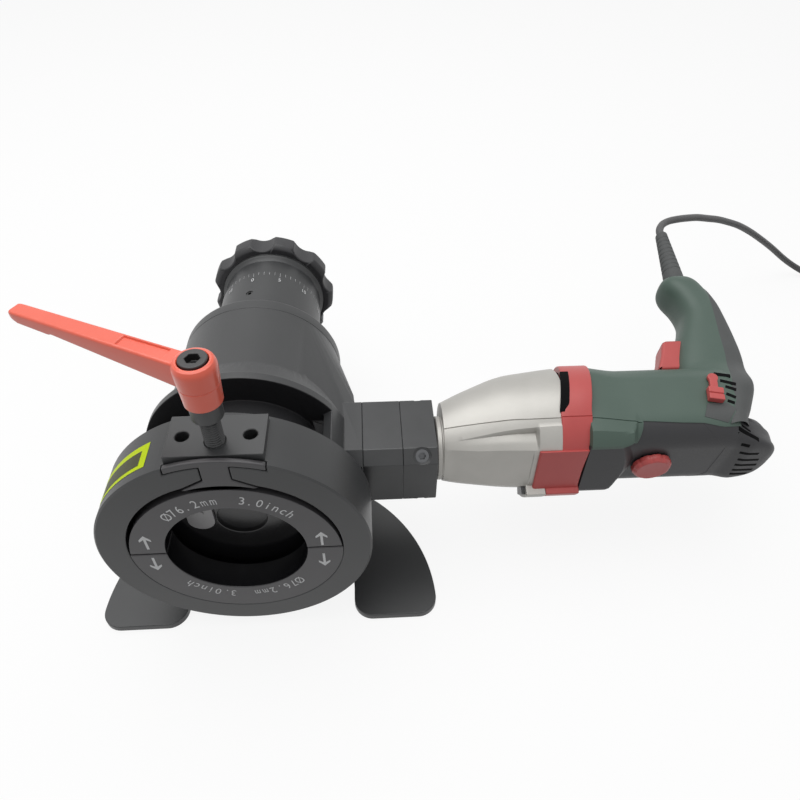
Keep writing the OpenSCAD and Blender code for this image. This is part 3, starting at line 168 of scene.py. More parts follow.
def mesh_of(name, points, faces, place=Matrix(), smooth=True):
    """Mesh from points in millimetres, moved by a matrix, with faces turned outwards."""
    mesh = bpy.data.meshes.new(name)
    mesh.from_pydata([(place @ Vector(p)) * MM for p in points], [], faces)
    form = bmesh.new()
    form.from_mesh(mesh)
    bmesh.ops.remove_doubles(form, verts=form.verts, dist=WELD * MM)
    bmesh.ops.recalc_face_normals(form, faces=form.faces)
    for face in form.faces:
        face.smooth = smooth
    form.to_mesh(mesh)
    form.free()
    mesh.set_sharp_from_angle(angle=math.radians(CREASE))
    return mesh


def skin(rows, closed, start_cap=False, end_cap=False):
    """Points and faces of a surface through rows of points."""
    wide = len(rows[0])
    faces = []
    for i in range(len(rows) - 1):
        for k in range(wide if closed else wide - 1):
            n = (k + 1) % wide
            faces.append((i * wide + k, i * wide + n, (i + 1) * wide + n, (i + 1) * wide + k))
    if start_cap:
        faces.append(tuple(range(wide))[::-1])
    if end_cap:
        faces.append(tuple((len(rows) - 1) * wide + k for k in range(wide)))
    return [p for row in rows for p in row], faces


def joined(forms):
    """Points and faces of several forms as one."""
    points, faces = [], []
    for form_points, form_faces in forms:
        base = len(points)
        points += form_points
        faces += [tuple(base + i for i in face) for face in form_faces]
    return points, faces


def in_drill(name, form, slot, replaced=(), body="frame", smooth=True):
    """Shows a form, given as points and faces in the drill frame."""
    return show(name, mesh_of(name, *form, DRILL, smooth), body, slot, replaced)


def soften(piece, edge, angle=EDGE_TURN, segments=3):
    """Rounds the sharp edges of a piece, and keeps its flat faces evenly lit."""
    bevel = piece.modifiers.new("rounded_edges", "BEVEL")
    bevel.width = edge * MM
    bevel.segments = segments
    bevel.limit_method = "ANGLE"
    bevel.angle_limit = math.radians(angle)
    bevel.use_clamp_overlap = False
    level = piece.modifiers.new("even_shading", "WEIGHTED_NORMAL")
    level.mode = "FACE_AREA"
    level.weight = FLAT_WEIGHT
    level.keep_sharp = True
    return piece


def cad_copy(node):
    """Copy of a CAD node's mesh with its flat faces whole."""
    form = bmesh.new()
    form.from_mesh(nodes[node].data)
    bmesh.ops.remove_doubles(form, verts=form.verts, dist=CAD_WELD * MM)
    bmesh.ops.dissolve_limit(form, angle_limit=math.radians(CAD_FLAT), verts=form.verts, edges=form.edges,
                             delimit=set())
    for face in form.faces:
        face.smooth = True
    mesh = bpy.data.meshes.new(node + "_form")
    form.to_mesh(mesh)
    form.free()
    return mesh


def machined(node, edge, angle=EDGE_TURN):
    """The CAD node's own shape with its edges broken, as turned and milled pieces have them."""
    piece = show(node + "_finished", cad_copy(node), nodes[node]["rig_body"], slot_of[node], (node,))
    return soften(piece, edge, angle, 2)


# Mains lead: the same route and coil as the solids

CORD_R = 3.0
SLEEVE_FOOT = (314.0, 146.0)
SLEEVE_LEAN = 0.105
SLEEVE_L = 52.0
COIL_PLACE = (610.0, 335.0)
COIL_TURNS, COIL_LAYERS = 4, 4
COIL_STEP, COIL_LAYER = 6.45, 6.5
COIL_R0 = 24.0
COIL_R1 = COIL_R0 + COIL_TURNS * COIL_STEP
# Thickness of the tie under the coil
TIE_UNDER = 1.2
COIL_Z = TABLE_Z + TIE_UNDER + CORD_R
PLUG_Z = TABLE_Z + 18.2
PLUG_RUN, PLUG_LEVEL = 48.0, 14.0
PLUG_FALL = (0, 0.17, 0.33, 0.5, 0.67, 0.83)
# Steps between two bends of the lead and in one turn of the coil, and how finely its section is rounded
LEAD_FINE, COIL_FINE, LEAD_ROUND = 6, 48, 4
SLEEVE_TIP = DRILL @ Vector((SLEEVE_FOOT[0] + SLEEVE_LEAN * SLEEVE_L, SLEEVE_FOOT[1] + SLEEVE_L, 0))
SLEEVE_AHEAD = (DRILL.to_3x3() @ Vector((SLEEVE_LEAN, 1, 0))).normalized()
LEAD_BENDS = ((325, 279, 36), (333, 285, 36), (344, 290, 35), (354, 295, 33), (366, 301, 30), (380, 308, 25),
              (393, 315, 20), (406, 322, 14), (426, 332, 4), (447, 343, -9), (469, 354, -24), (494, 366, -42),
              (518, 375, -60), (536, 379, -72), (549, 374, -78), (557, 363, -80))


def coil_point(turn):
    """Place on the coil's middle line after some turns; one layer winds inwards, the next one outwards."""
    sweep, part = divmod(turn / COIL_TURNS, 1)
    span = COIL_R1 - COIL_R0
    radius = COIL_R1 - part * span if sweep % 2 == 0 else COIL_R0 + part * span
    height = COIL_Z + COIL_LAYER * sum(ease((turn - k * COIL_TURNS) / 0.5 + 0.5) for k in range(1, COIL_LAYERS))
    angle = math.pi + 2 * math.pi * turn
    return Vector((COIL_PLACE[0] + radius * math.cos(angle), COIL_PLACE[1] + radius * math.sin(angle), height))


def lead_line():
    """Middle line of the lead, from the sleeve's tip through the coil to the plug."""
    coil_start = Vector((COIL_PLACE[0] - COIL_R1, COIL_PLACE[1] + 2 * CORD_R, COIL_Z))
    bends = [SLEEVE_TIP, SLEEVE_TIP + 2 * CORD_R * SLEEVE_AHEAD] + [Vector(p) for p in LEAD_BENDS] + [coil_start]
    line = smooth_through(bends, LEAD_FINE)
    line += [coil_point(k / COIL_FINE) for k in range(COIL_TURNS * COIL_LAYERS * COIL_FINE + 1)]
    x, top = line[-1].x, line[-1].z
    fall = PLUG_RUN - PLUG_LEVEL - 2 * CORD_R
    line += [Vector((x, COIL_PLACE[1] - PLUG_LEVEL - f * fall, top + ease(f) * (PLUG_Z - top)))
             for f in PLUG_FALL]
    line += [Vector((x, COIL_PLACE[1] - PLUG_RUN + back, PLUG_Z)) for back in (2 * CORD_R, 0)]
    return line


def mains_lead():
    """Lead with the coil of its spare length, the coil's tie and the plug."""
    line = [p * MM for p in lead_line()]
    data = bpy.data.curves.new("mains_lead", "CURVE")
    data.dimensions = "3D"
    data.bevel_depth = CORD_R * MM
    data.bevel_resolution = LEAD_ROUND
    data.use_fill_caps = True
    spline = data.splines.new("POLY")
    spline.points.add(len(line) - 1)
    for point, place in zip(spline.points, line):
        point.co = (*place, 1)
    spline.use_smooth = True
    lead = show("mains_lead", data, "frame", "cord_rubber", ("cord_tube", "cord_coil"))
    plug = machined("mains_plug", 1.2)
    tie = machined("cord_tie", 0.3)


# Materials

def linear(colour):
    """sRGB hex to linear colour with alpha."""
    parts = [int(colour[i:i + 2], 16) / 255 for i in (1, 3, 5)]
    return tuple(c / 12.92 if c <= 0.04045 else ((c + 0.055) / 1.055) ** 2.4 for c in parts) + (1.0,)


def add(tree, kind, inputs=(), **settings):
    """Adds one node with its settings; an input takes a value or another node's output."""
    made = tree.nodes.new(kind)
    for name, value in settings.items():
        setattr(made, name, value)
    for name, value in dict(inputs).items():
        if isinstance(value, bpy.types.NodeSocket):
            tree.links.new(value, made.inputs[name])
        else:
            made.inputs[name].default_value = value
    return made


def per(size):
    """Texture scale at which one feature is about this many millimetres wide."""
    return 1 / (size * MM)


def finish(name, light, dark, patch, rough, grain, depth, **constants):
    """A surface whose colour drifts between two tones over patches, with a grain that breaks its gloss."""
    material = bpy.data.materials.new(name)
    material.use_nodes = True
    tree = material.node_tree
    shader = tree.nodes["Principled BSDF"]
    place = add(tree, "ShaderNodeTexCoord").outputs["Object"]
    drift = add(tree, "ShaderNodeTexNoise", {"Vector": place, "Scale": per(patch), "Detail": 3.0})
    tone = add(tree, "ShaderNodeMix", {"Factor": drift.outputs["Fac"], 6: linear(dark), 7: linear(light)},
               data_type="RGBA")
    tree.links.new(tone.outputs[2], shader.inputs["Base Color"])
    speck = add(tree, "ShaderNodeTexNoise", {"Vector": place, "Scale": per(grain), "Detail": 2.0})
    gloss = add(tree, "ShaderNodeMapRange", {"Value": speck.outputs["Fac"], "From Min": 0.3, "From Max": 0.7,
                                             "To Min": rough[0], "To Max": rough[1]})
    tree.links.new(gloss.outputs["Result"], shader.inputs["Roughness"])
    if depth:
        bump = add(tree, "ShaderNodeBump", {"Height": speck.outputs["Fac"], "Strength": 0.5, "Distance": depth * MM})
        tree.links.new(bump.outputs["Normal"], shader.inputs["Normal"])
    for socket, value in constants.items():
        shader.inputs[socket.replace("_", " ")].default_value = value
    return material


def all_finishes():
    """Finish of each material slot, and of a few surfaces within a slot; some of these are painted shade.

    The real grain of moulded plastic and of ground, anodised or blackened metal is under 0.1 mm wide. That is too fine
    to show, so it is drawn 0.3 to 0.8 mm wide.
    """
    return {
        # Black anodised aluminium: soft even black whose broad highlights turn grey
        "satin_black": finish("black_anodised_aluminium", "#353637", "#2d2e2f", 30, (0.36, 0.46), 0.5, 0.004),
        # Black oxide on turned steel: a shade deeper, with tighter highlights
        "blued_steel": finish("black_oxide_steel", "#38393a", "#2c2d2e", 12, (0.3, 0.42), 0.4, 0.003),
        # Black screws: dark with a thin oily gleam
        "black_screw": finish("black_screw_steel", "#29292a", "#1d1d1e", 4, (0.28, 0.4), 0.3, 0.002),
        # Ground steel: grey metal with a faint uneven gloss
        "bare_steel": finish("ground_steel", "#a2a3a4", "#8c8d8f", 5, (0.24, 0.4), 0.4, 0.002, Metallic=1.0),
        # Polished bearing steel: bright and close to a mirror, with hardly any grain
        "bearing_steel": finish("polished_bearing_steel", "#c3c4c6", "#b0b1b3", 8, (0.14, 0.24), 0.5, 0,
                                Metallic=1.0),
        # Orange enamel on cast metal: thick glossy paint with a slight orange peel, at its real width of 3 mm
        "orange_paint": finish("orange_enamel", "#ea6349", "#e0573e", 18, (0.3, 0.36), 3, 0,
                               Coat_Weight=0.35, Coat_Roughness=0.2),
        # Die-cast aluminium under clear lacquer: pale warm silver, softly shining
        "silver_case": finish("die_cast_aluminium", "#b6b4af", "#aaa8a3", 14, (0.4, 0.48), 0.7, 0.006,
                              Metallic=0.4),
        # Glass-filled nylon: dull green with fine moulded grain
        "green_plastic": finish("green_glass_filled_nylon", "#475950", "#3f5148", 20, (0.42, 0.56), 0.45, 0.012),
        # Red moulded plastic: a little smoother than the green
        "red_plastic": finish("red_moulded_plastic", "#bb504e", "#b04846", 16, (0.36, 0.48), 0.5, 0.008),
        # Black moulded plastic: a dull grey sheen on its fine grain, with no sharp highlight
        "black_plastic": finish("black_moulded_plastic", "#29292c", "#232325", 18, (0.44, 0.58), 0.45, 0.012),
        # Soft grip rubber: dull dark grey, no clear highlight
        "soft_rubber": finish("soft_grip_rubber", "#4b4d4d", "#434545", 14, (0.6, 0.75), 0.5, 0.015),
        # Coated carbide: bronze brown with a dull metal gleam
        "carbide": finish("coated_carbide", "#8d7a52", "#7a6947", 3, (0.3, 0.45), 0.3, 0.002, Metallic=0.8),
        # Copper windings on iron sheets: mottled red-brown, rough, half metal
        "copper_iron": finish("copper_windings_and_iron", "#8a5a40", "#5d4a40", 2, (0.4, 0.6), 0.8, 0.02,
                              Metallic=0.5),
        # Blackened tool steel, worn to a soft grey: bright only where it faces the light
        "tool_steel": finish("blackened_tool_steel", "#a3a2a3", "#959495", 4, (0.4, 0.5), 0.4, 0.002, Metallic=0.3),
        # Brushed black of the collets and the clamp pad: a warmer, lighter black
        "brushed_black": finish("brushed_black_oxide", "#464547", "#3d3c3e", 12, (0.36, 0.46), 0.4, 0.003),
        # Painted shade for the collets' bores and the parts deep inside the head: near black, glossy enough for narrow
        # bright highlights
        "bore_shade": finish("painted_shade_bore", "#19191b", "#141416", 6, (0.16, 0.24), 0.6, 0.001),
        # Painted shade for the casting's inside round the cutter: dark and rough, with little shine
        "hollow_shade": finish("painted_shade_casting_inside", "#1d1d1f", "#171719", 6, (0.55, 0.7), 0.6, 0.004,
                             Specular_IOR_Level=0.25),
        # Plain steel set screw: mid grey metal that catches a small bright gleam
        "set_screw": finish("set_screw_steel", "#67686a", "#58595b", 3, (0.3, 0.4), 0.3, 0.002, Metallic=1.0),
        # Inside of narrow slots: no light comes back
        "slot_shade": finish("shaded_slot", "#0b0b0c", "#080809", 3, (0.8, 0.9), 0.5, 0, Specular_IOR_Level=0.1),
        # Rubber lead: dull dark grey, with a broad faint sheen
        "cord_rubber": finish("lead_rubber", "#575758", "#4d4d4e", 10, (0.5, 0.62), 0.6, 0.006),
    }


# Clamp head

# Size marks on each collet half: letters, degrees of the first one and from each to the next
COLLET_TEXT = (("Ø76.2mm", 133.0, 6.1), ("3.0inch", 78.0, 5.7))
COLLET_TEXT_R, COLLET_TEXT_H = 44.6, 8.6
POINT_SHIFT = math.radians(0.7)
# Widths of the letters, as shares of the font's own, and steps along each of their curves
LETTER_WIDTH, M_WIDTH, LETTER_STEPS = 0.85, 0.56, 3
MARK_DEPTH = 0.06
RING_R = 74.0


def white_mark():
    """Engraved marks filled with white paint, a little worn: off-white, with no shine."""
    return finish("white_mark_paint", "#e6e7e8", "#c9cacb", 2, (0.5, 0.65), 0.4, 0)


def glyph(letter, height):
    """Flat faces of one letter, in millimetres, standing on its middle."""
    data = bpy.data.curves.new("letter", "FONT")
    data.body = letter
    data.align_x = "CENTER"
    data.align_y = "CENTER"
    data.size = height
    data.resolution_u = LETTER_STEPS
    letter_object = placed("letter", data)
    mesh = bpy.data.meshes.new_from_object(letter_object.evaluated_get(bpy.context.evaluated_depsgraph_get()))
    narrow = M_WIDTH if letter == "m" else LETTER_WIDTH
    points = [Vector((v.co.x * narrow, v.co.y, 0)) for v in mesh.vertices]
    faces = [tuple(p.vertices) for p in mesh.polygons]
    bpy.data.objects.remove(letter_object)
    return points, faces


def marks(name, body, shapes):
    """One piece from flat shapes, each given as points, faces and the matrix that sets it on a surface."""
    points, faces = joined([([place @ Vector(p) for p in flat], sides) for flat, sides, place in shapes])
    mesh = bpy.data.meshes.new(name)
    mesh.from_pydata([p * MM for p in points], [], faces)
    made = placed(name, mesh)
    mesh.materials.append(mark_paint)
    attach(made, body)


def basis(along, up, place):
    """Matrix that lays a flat shape's x along one direction and its y along another."""
    out = along.cross(up)
    turn = Matrix((along, up, out)).transposed().to_4x4()
    return Matrix.Translation(place + out * MARK_DEPTH) @ turn


ARROW = ([(-0.7, -6.2, 0), (0.7, -6.2, 0), (0.7, 2.6, 0), (3.2, 0.6, 0), (3.2, 2.4, 0), (0, 6.2, 0),
          (-3.2, 2.4, 0), (-3.2, 0.6, 0), (-0.7, 2.6, 0)], [(0, 1, 2, 8), (2, 3, 4, 5), (8, 2, 5), (8, 5, 6, 7)])
ARROW_X, ARROW_Z = 46.6, 10.3
ARROW_LEAN, ARROW_DROP = 1.4, 0.6


def collet_marks():
    """Size and arrows on both collet halves; the lower half has them upside down."""
    for body, side in (("clamp_slider", 1), ("frame", -1)):
        shapes = []
        for words, first, step in COLLET_TEXT:
            for k, letter in enumerate(words):
                a = math.radians(first - step * k)
                if letter == ".":
                    a += POINT_SHIFT
                out = Vector((math.cos(a), 0, math.sin(a))) * side
                along = Vector((math.sin(a), 0, -math.cos(a))) * side
                shapes.append((*glyph(letter, COLLET_TEXT_H), basis(along, out, out * COLLET_TEXT_R)))
        for x in (-ARROW_X, ARROW_X):
            place = Vector((x, 0, side * ARROW_Z - ARROW_LEAN * x / ARROW_X - ARROW_DROP))
            shapes.append((*ARROW, basis(Vector((side, 0, 0)), Vector((0, 0, side)), place)))
        marks("size_marks_upper" if side > 0 else "size_marks_lower", body, shapes)


# Faces of a collet nearer to its axis than this, and turned to it, are its bore
BORE_R, BORE_TURN = 38.6, 0.3


def polished_bore(collet):
    """Gives the collet's bore painted shade: a smooth, near-black face."""
    collet.data.materials.append(looks["bore_shade"])
    for face in collet.data.polygons:
        if math.hypot(face.center.x, face.center.z) < BORE_R * MM and abs(face.normal.y) < BORE_TURN:
            face.material_index = 1


# Sticker and the field inside it: ends in y, degrees round the ring, height above it
LABEL = ((6.5, 22.8), (-28.3, -62.0), 0.12)
LABEL_FIELD = ((9.0, 18.8), (-31.7, -59.0), 0.18)
LABEL_STEPS = 16


def label_patch(name, ends, turn, lift):
    """Thin patch that follows the ring's side."""
    rows = []
    for k in range(LABEL_STEPS + 1):
        a = math.radians(turn[0] + (turn[1] - turn[0]) * k / LABEL_STEPS)
        rows.append([((RING_R + lift) * math.sin(a), y, (RING_R + lift) * math.cos(a)) for y in ends])
    return show(name, mesh_of(name, *skin(rows, False)), "frame", "satin_black")


def blank_label():
    """Plain yellow-green sticker on the ring's side, with an empty dark field."""
    sticker = label_patch("blank_label", *LABEL)
    # Coloured vinyl sticker: flat bright yellow-green, with hardly any shine
    sticker.data.materials[0] = finish("yellow_green_sticker", "#c3da00", "#bad000", 10, (0.45, 0.55), 0.6, 0,
                                       Specular_IOR_Level=0.2)
    field = label_patch("label_field", *LABEL_FIELD)
    # Dark print on vinyl: dull olive, as flat as the sticker round it
    field.data.materials[0] = finish("dark_sticker_print", "#46482c", "#3c3e28", 6, (0.45, 0.55), 0.6, 0,
                                     Specular_IOR_Level=0.2)


# Faces of the casting within this radius and between these places along y take painted shade
HOLLOW_R, HOLLOW_Y = 57.0, (10.0, 80.0)
# Faces of the casting that meet at more than this many degrees keep a crisp edge
CASTING_CREASE = 20


def dark_hollow(casting):
    """Painted shade on the casting's inside, round the cutter: darker and duller than the outside."""
    casting.data.set_sharp_from_angle(angle=math.radians(CASTING_CREASE))
    casting.data.materials.append(looks["hollow_shade"])
    for face in casting.data.polygons:
        x, y, z = (c / MM for c in face.center)
        if math.hypot(x, z) < HOLLOW_R and HOLLOW_Y[0] < y < HOLLOW_Y[1]:
            face.material_index = 1


STUD_R, STUD_Y, STUD_SIDES = 5.0, 13.0, 40
STUD_Z = (62.05, 96.0)
THREAD_PITCH, THREAD_DEPTH, THREAD_STEPS = 1.5, 0.55, 8


def clamp_stud():
    """Stud with its screw thread, cut as one helix."""
    rows = []
    z = STUD_Z[0]
    while z <= STUD_Z[1]:
        row = []
        for k in range(STUD_SIDES):
            a = 2 * math.pi * k / STUD_SIDES
            phase = (z / THREAD_PITCH - k / STUD_SIDES) % 1
            r = STUD_R - THREAD_DEPTH * min(1, max(0, 2 * abs(2 * phase - 1) - 0.5))
            row.append((r * math.cos(a), STUD_Y + r * math.sin(a), z))
        rows.append(row)
        z += THREAD_PITCH / THREAD_STEPS
    show("threaded_stud", mesh_of("threaded_stud", *skin(rows, True, True, True)), "clamp_screw",
         slot_of["clamp_stud"], ("clamp_stud",))


LEVER_TURN = math.radians(154)
LEVER_LENGTH, LEVER_TOP = 104.0, 124.5
# Half width of the arm at the hub and at its round tip, and radius of its edges
LEVER_HALF, LEVER_TIP, LEVER_EDGE = 5.25, 4.2, 1.4
# The top falls off over the last stretch before the tip: start, length and drop
LEVER_FALL = (101.5, 2.5, 3)
LEVER_POCKET, LEVER_POCKET_DEPTH, POCKET_RIM = (14.0, 40.0), 0.9, 0.6
# Hub outline round the stud, as (radius, height): outside with its parting groove, rim, screw recess, insert bore
LEVER_HUB = ((8.6, 102), (9.0, 102.4), (9.5, 112.9), (9.2, 113.3), (9.6, 113.7), (10.05, 121.5), (10.0, 123),
             (9.6, 124.4), (8.9, 125.5), (7.9, 126), (7.2, 126), (6.9, 125.7), (6.9, 107.7), (4.4, 107.7),
             (4.4, 106.2), (6.8, 106.2), (6.8, 102))
LEVER_UNDER = ((0, 109.5), (78, 117.7), (80, 117), (98, 118), (104, 121.5))
# Distances from the stud at which the arm's outline is drawn, close together where it changes
ARM_STEPS = (7, 10, 13.8, 14, 14.2, 14.4, 14.6, 14.8, 20, 30, 39.2, 39.4, 39.6, 39.8, 40, 40.2, 50, 60, 70, 76, 78, 80,
             90, 98, 99.8, 100.8, 101.6, 102.3, 102.9, 103.4, 103.7, 103.9, 104)


def arm_row(s):
    """Outline of the lever's arm at one distance from the stud: rounded edges and a shallow pocket on top."""
    straight = LEVER_LENGTH - LEVER_TIP
    half = LEVER_HALF + (LEVER_TIP - LEVER_HALF) * min(s, straight) / straight
    past = max(0, s - LEVER_LENGTH + LEVER_TIP)
    half = max(0.2, math.sqrt(max(0, LEVER_TIP * LEVER_TIP - past * past))) if past else half
    top = LEVER_TOP - LEVER_FALL[2] * ease((s - LEVER_FALL[0]) / LEVER_FALL[1])
    low = level_at(LEVER_UNDER, s)
    c = min(LEVER_EDGE, 0.45 * half, 0.4 * (top - low))
    pocket = half - c - POCKET_RIM
    deep = LEVER_POCKET_DEPTH * ease((s - LEVER_POCKET[0]) / 0.8) * ease((LEVER_POCKET[1] - s) / 0.8)
    turns = [math.radians(15 * k) for k in range(7)]
    side = [(half - c + c * math.sin(a), low + c - c * math.cos(a)) for a in turns]
    side += [(half - c + c * math.cos(a), top - c + c * math.sin(a)) for a in turns]
    side += [(pocket + 0.4, top), (pocket, top - deep)]
    return side + [(-n, z) for n, z in side[::-1]]


def lever_handle():
    """Cast lever: a round hub with a tapered arm."""
    turns = spread(0, 2 * math.pi, ROUND_SIDES)
    rows = [[(r * math.cos(a), r * math.sin(a), z) for a in turns] for r, z in LEVER_HUB]
    hub = skin(rows + rows[:1], True)
    c, s = math.cos(LEVER_TURN), math.sin(LEVER_TURN)
    rows = [[(along * c - n * s, along * s + n * c, z) for n, z in arm_row(along)] for along in ARM_STEPS]
    points, faces = joined([hub, skin(rows, True, True, True)])
    place = Matrix.Translation((0, STUD_Y, 0))
    show("cast_lever", mesh_of("cast_lever", points, faces, place), "clamp_lever", slot_of["lever_handle"],
         ("lever_handle",))


SPRING_R, SPRING_WIRE, SPRING_PITCH, SPRING_TURNS = 4.9, 1.2, 2.4, 5
SPRING_FOOT, SPRING_SEAT = 107.8, 122.0
# Steps in one turn of the spring, and points round its wire
SPRING_STEPS, WIRE_SIDES = 16, 10


def return_spring():
    """Wire spring inside the lever's hub, with a mesh of its own; the real one shortens as the lever is lifted off its
    teeth.
    """
    rows = []
    ring = [2 * math.pi * i / WIRE_SIDES for i in range(WIRE_SIDES)]
    for k in range(SPRING_STEPS * SPRING_TURNS + 1):
        a = 2 * math.pi * k / SPRING_STEPS
        out = Vector((math.cos(a), math.sin(a), 0))
        rise = SPRING_FOOT + SPRING_WIRE / 2 + SPRING_PITCH * k / SPRING_STEPS
        middle = out * SPRING_R + Vector((0, STUD_Y, rise))
        rows.append([middle + SPRING_WIRE / 2 * (math.cos(b) * out + Vector((0, 0, math.sin(b)))) for b in ring])
    spring = show("return_spring", mesh_of("return_spring", *skin(rows, True, True, True)),
                  nodes["lever_spring"]["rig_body"], slot_of["lever_spring"], ("lever_spring",))
    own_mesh(spring)


# Feed dial

DIAL_R = 38.0
DIAL_EDGE_Y = 218.0
DIAL_DIVISIONS, DIAL_STEP = 60, 5
DIAL_TURN = math.radians(13)
DIAL_LINE_HALF, DIAL_LINE, DIAL_FIFTH_LINE = 0.07, 3.6, 5.6
# Numbers: height, distance from the dial's edge, and how far they stand above the lines
DIAL_NUMBER_H, DIAL_NUMBER_BACK, DIAL_NUMBER_LIFT = 5.4, 9.4, 0.12


def dial_marks():
    """Scale round the dial's rear edge: fine lines, with a number at each fifth."""
    shapes = []
    back = Vector((0, 1, 0))
    for k in range(DIAL_DIVISIONS):
        a = 2 * math.pi * (k / DIAL_DIVISIONS) - DIAL_TURN
        out = Vector((math.sin(a), 0, math.cos(a)))
        along = Vector((math.cos(a), 0, -math.sin(a)))
        long = DIAL_LINE if k % DIAL_STEP else DIAL_FIFTH_LINE
        half = DIAL_LINE_HALF
        line = ([(-half, -long, 0), (half, -long, 0), (half, 0, 0), (-half, 0, 0)], [(0, 1, 2, 3)])
        shapes.append((*line, basis(along, back, out * DIAL_R + Vector((0, DIAL_EDGE_Y, 0)))))
        if k % DIAL_STEP == 0:
            place = out * (DIAL_R + DIAL_NUMBER_LIFT) + Vector((0, DIAL_EDGE_Y - DIAL_NUMBER_BACK, 0))
            shapes.append((*glyph(str(k), DIAL_NUMBER_H), basis(along, back, place)))
    marks("dial_scale", "feed_knob", shapes)


# Drill casings, in the drill frame

# Gear case: level of its middle and radius along x, blended over a length
CASE_X = (100, 117.5, 127.0, 157.0, 193.0, 210)
CASE_V = (3, 4.0, 5.8, 10.5, 12.0, 12.3)
CASE_R = (17.5, 24.0, 27.5, 35.5, 38.5, 39.0)
CASE_BLEND = 16
RED_V, RED_R = 12.5, 39.5
MOTOR_V, MOTOR_R, MOTOR_HALF = 14.0, 34.0, 32.0
COVER_FLAT, COVER_LINE = -17.0, -5.0
MOTOR_CORNER = 17.0
CAP_X, CAP_FLAT = 296.0, -19.4
HOUSING_END, CAP_END = 298.0, 329.5
CHIN_R, CHIN_FALL, CHIN_X = 42.0, 12, (223.0, 236.6)
LOBE_TAPER = (230.0, 239.5)
# The motor's housing widens towards the red ring: by how much, from which x, over which length
FLARE, FLARE_X, FLARE_RUN = 3.6, 236, 30
WALL_R, WALL_TURN = 36.9, math.radians(-80)
WALL_END = -106.0


def softened(xs, ys, width):
    """Straight stretches between points, blended where they meet."""
    def at(x):
        steps = np.linspace(-width / 2, width / 2, 9)
        return float(np.mean(np.interp(x + steps, xs, ys)))
    return at


case_v = softened(CASE_X, CASE_V, CASE_BLEND)
case_r = softened(CASE_X, CASE_R, CASE_BLEND)


def ring_at(x, v, r, outline):
    """Points round a casing at one x; each angle runs from +w towards +v, with its offset from the radius."""
    points = []
    for a, d in outline:
        a = math.radians(a)
        points.append((x, v + (r + d) * math.sin(a), (r + d) * math.cos(a)))
    return points


def wall_depth(r, a, start):
    """How far the flat wall under a casing lies inside its circle."""
    middle, half = (start + WALL_END) / 2, (start - WALL_END) / 2
    if abs(a - middle) >= half:
        return 0.0
    return r - r * math.cos(math.radians(half)) / math.cos(math.radians(a - middle))


def both_sides(near, far):
    """A whole outline from the side that faces up and the one below, each run down from the top."""
    return near + [(180 - a, *rest) for a, *rest in far[-2:0:-1]]


# Lines along a side of the gear case, as (x, degrees): split, pocket's upper edge, valley and floor, and the crease
CASE_LINES = (((118, -14), (134, -18), (150, -21), (169, -23), (186, -24), (193, -24.3)),
              ((127, -34), (151.5, -32), (172, -31)),
              ((127, -34.8), (151.4, -36.2), (172, -36.6)),
              ((127, -41.0), (151.4, -43.5), (172, -45)),
              ((118, -44), (139.7, -50), (172.6, -53)))
POCKET_X = (127.0, 173.0)
# The pocket deepens along x by a slope, closes over a length, and keeps a share of its depth where its floor ends
POCKET_DEPTH, POCKET_SLOPE, POCKET_CLOSE, POCKET_FLOOR = 4.2, 0.09, 1.6, 0.38
BAND_RISE, LIP_RISE, LIP_X = 0.6, 0.6, 171.5
SPLIT_HALF, CASE_SPLIT_DEPTH, RED_SPLIT_DEPTH = 0.35, 0.6, 0.5
# The flat wall under the case comes in over a length from its front
CASE_WALL_X, CASE_WALL_RUN = 116, 10


def case_side(x, r, wall):
    """One side of the gear case: split line, wedge pocket, raised band and the flat wall below the crease."""
    split, upper, valley, floor, crease = (level_at(line, x) for line in CASE_LINES)
    deep = min(POCKET_DEPTH, POCKET_SLOPE * max(0, x - POCKET_X[0]))
    deep *= ease((POCKET_X[1] + POCKET_CLOSE - x) / POCKET_CLOSE)
    band = BAND_RISE * ease(x - POCKET_X[1] - 1.0)
    lip = LIP_RISE * ease((x - LIP_X) / 0.8)
    wide = math.degrees(SPLIT_HALF / r)
    side = [(a, 0) for a in spread(90, split + wide, 24)]
    side += [(split + wide, 0), (split, -CASE_SPLIT_DEPTH), (split - wide, 0)]
    side += [(a, 0) for a in spread(split - 2 * wide, upper, 3)]
    side += [(a, band - deep * (a - upper) / (valley - upper)) for a in spread(upper, valley, 4)]
    side += [(a, band - deep * (1 - (1 - POCKET_FLOOR) * (a - valley) / (floor - valley)))
             for a in spread(valley, floor, 5)]
    side += [(a, band - POCKET_FLOOR * deep * (1 - (a - floor) / (crease - floor))) for a in spread(floor, crease, 4)]
    end = WALL_END if wall else -180 - WALL_END
    for a in spread(crease, end, 16) + [end]:
        flat = wall_depth(r, a, crease) * ease((x - CASE_WALL_X) / CASE_WALL_RUN) if wall else 0
        side.append((a, lip * ease((crease - a) / 2) * ease((a - end) / 2) - flat
                     + band * ease((a - crease + 2) / 2)))
    return side


# Blocks under the casings: name, slot, ends in x, outer radius, degrees round the casing, and edge
FOOT_TURN, FOOT_INNER, FOOT_STEPS = (-104.0, -133.0), 34, 12
FOOT_BLOCKS = (("case_foot", "silver_case", 170.6, 183.0, 44.3, FOOT_TURN, 0.7),
               ("case_foot_screw", "black_screw", 168.4, 171.4, 42.6, (-108, -126), 0.4),
               ("red_rail", "red_plastic", 183.1, 204.0, 44.0, FOOT_TURN, 0.7))


def foot_block(name, slot, x0, x1, outer, turn, edge):
    """Block that follows the casing's curve, between two angles."""
    rows = []
    for k in range(FOOT_STEPS + 1):
        a = math.radians(turn[0] + (turn[1] - turn[0]) * k / FOOT_STEPS)
        rows.append([(x, RED_V + r * math.sin(a), r * math.cos(a))
                     for x, r in ((x0, FOOT_INNER), (x1, FOOT_INNER), (x1, outer), (x0, outer))])
    soften(in_drill(name, skin(rows, True, True, True), slot), edge)


# Front of the case, as (x, level of its middle, radius), and its rear
CASE_FRONT, CASE_REAR = (119.1, 2.5, 20.5), 193
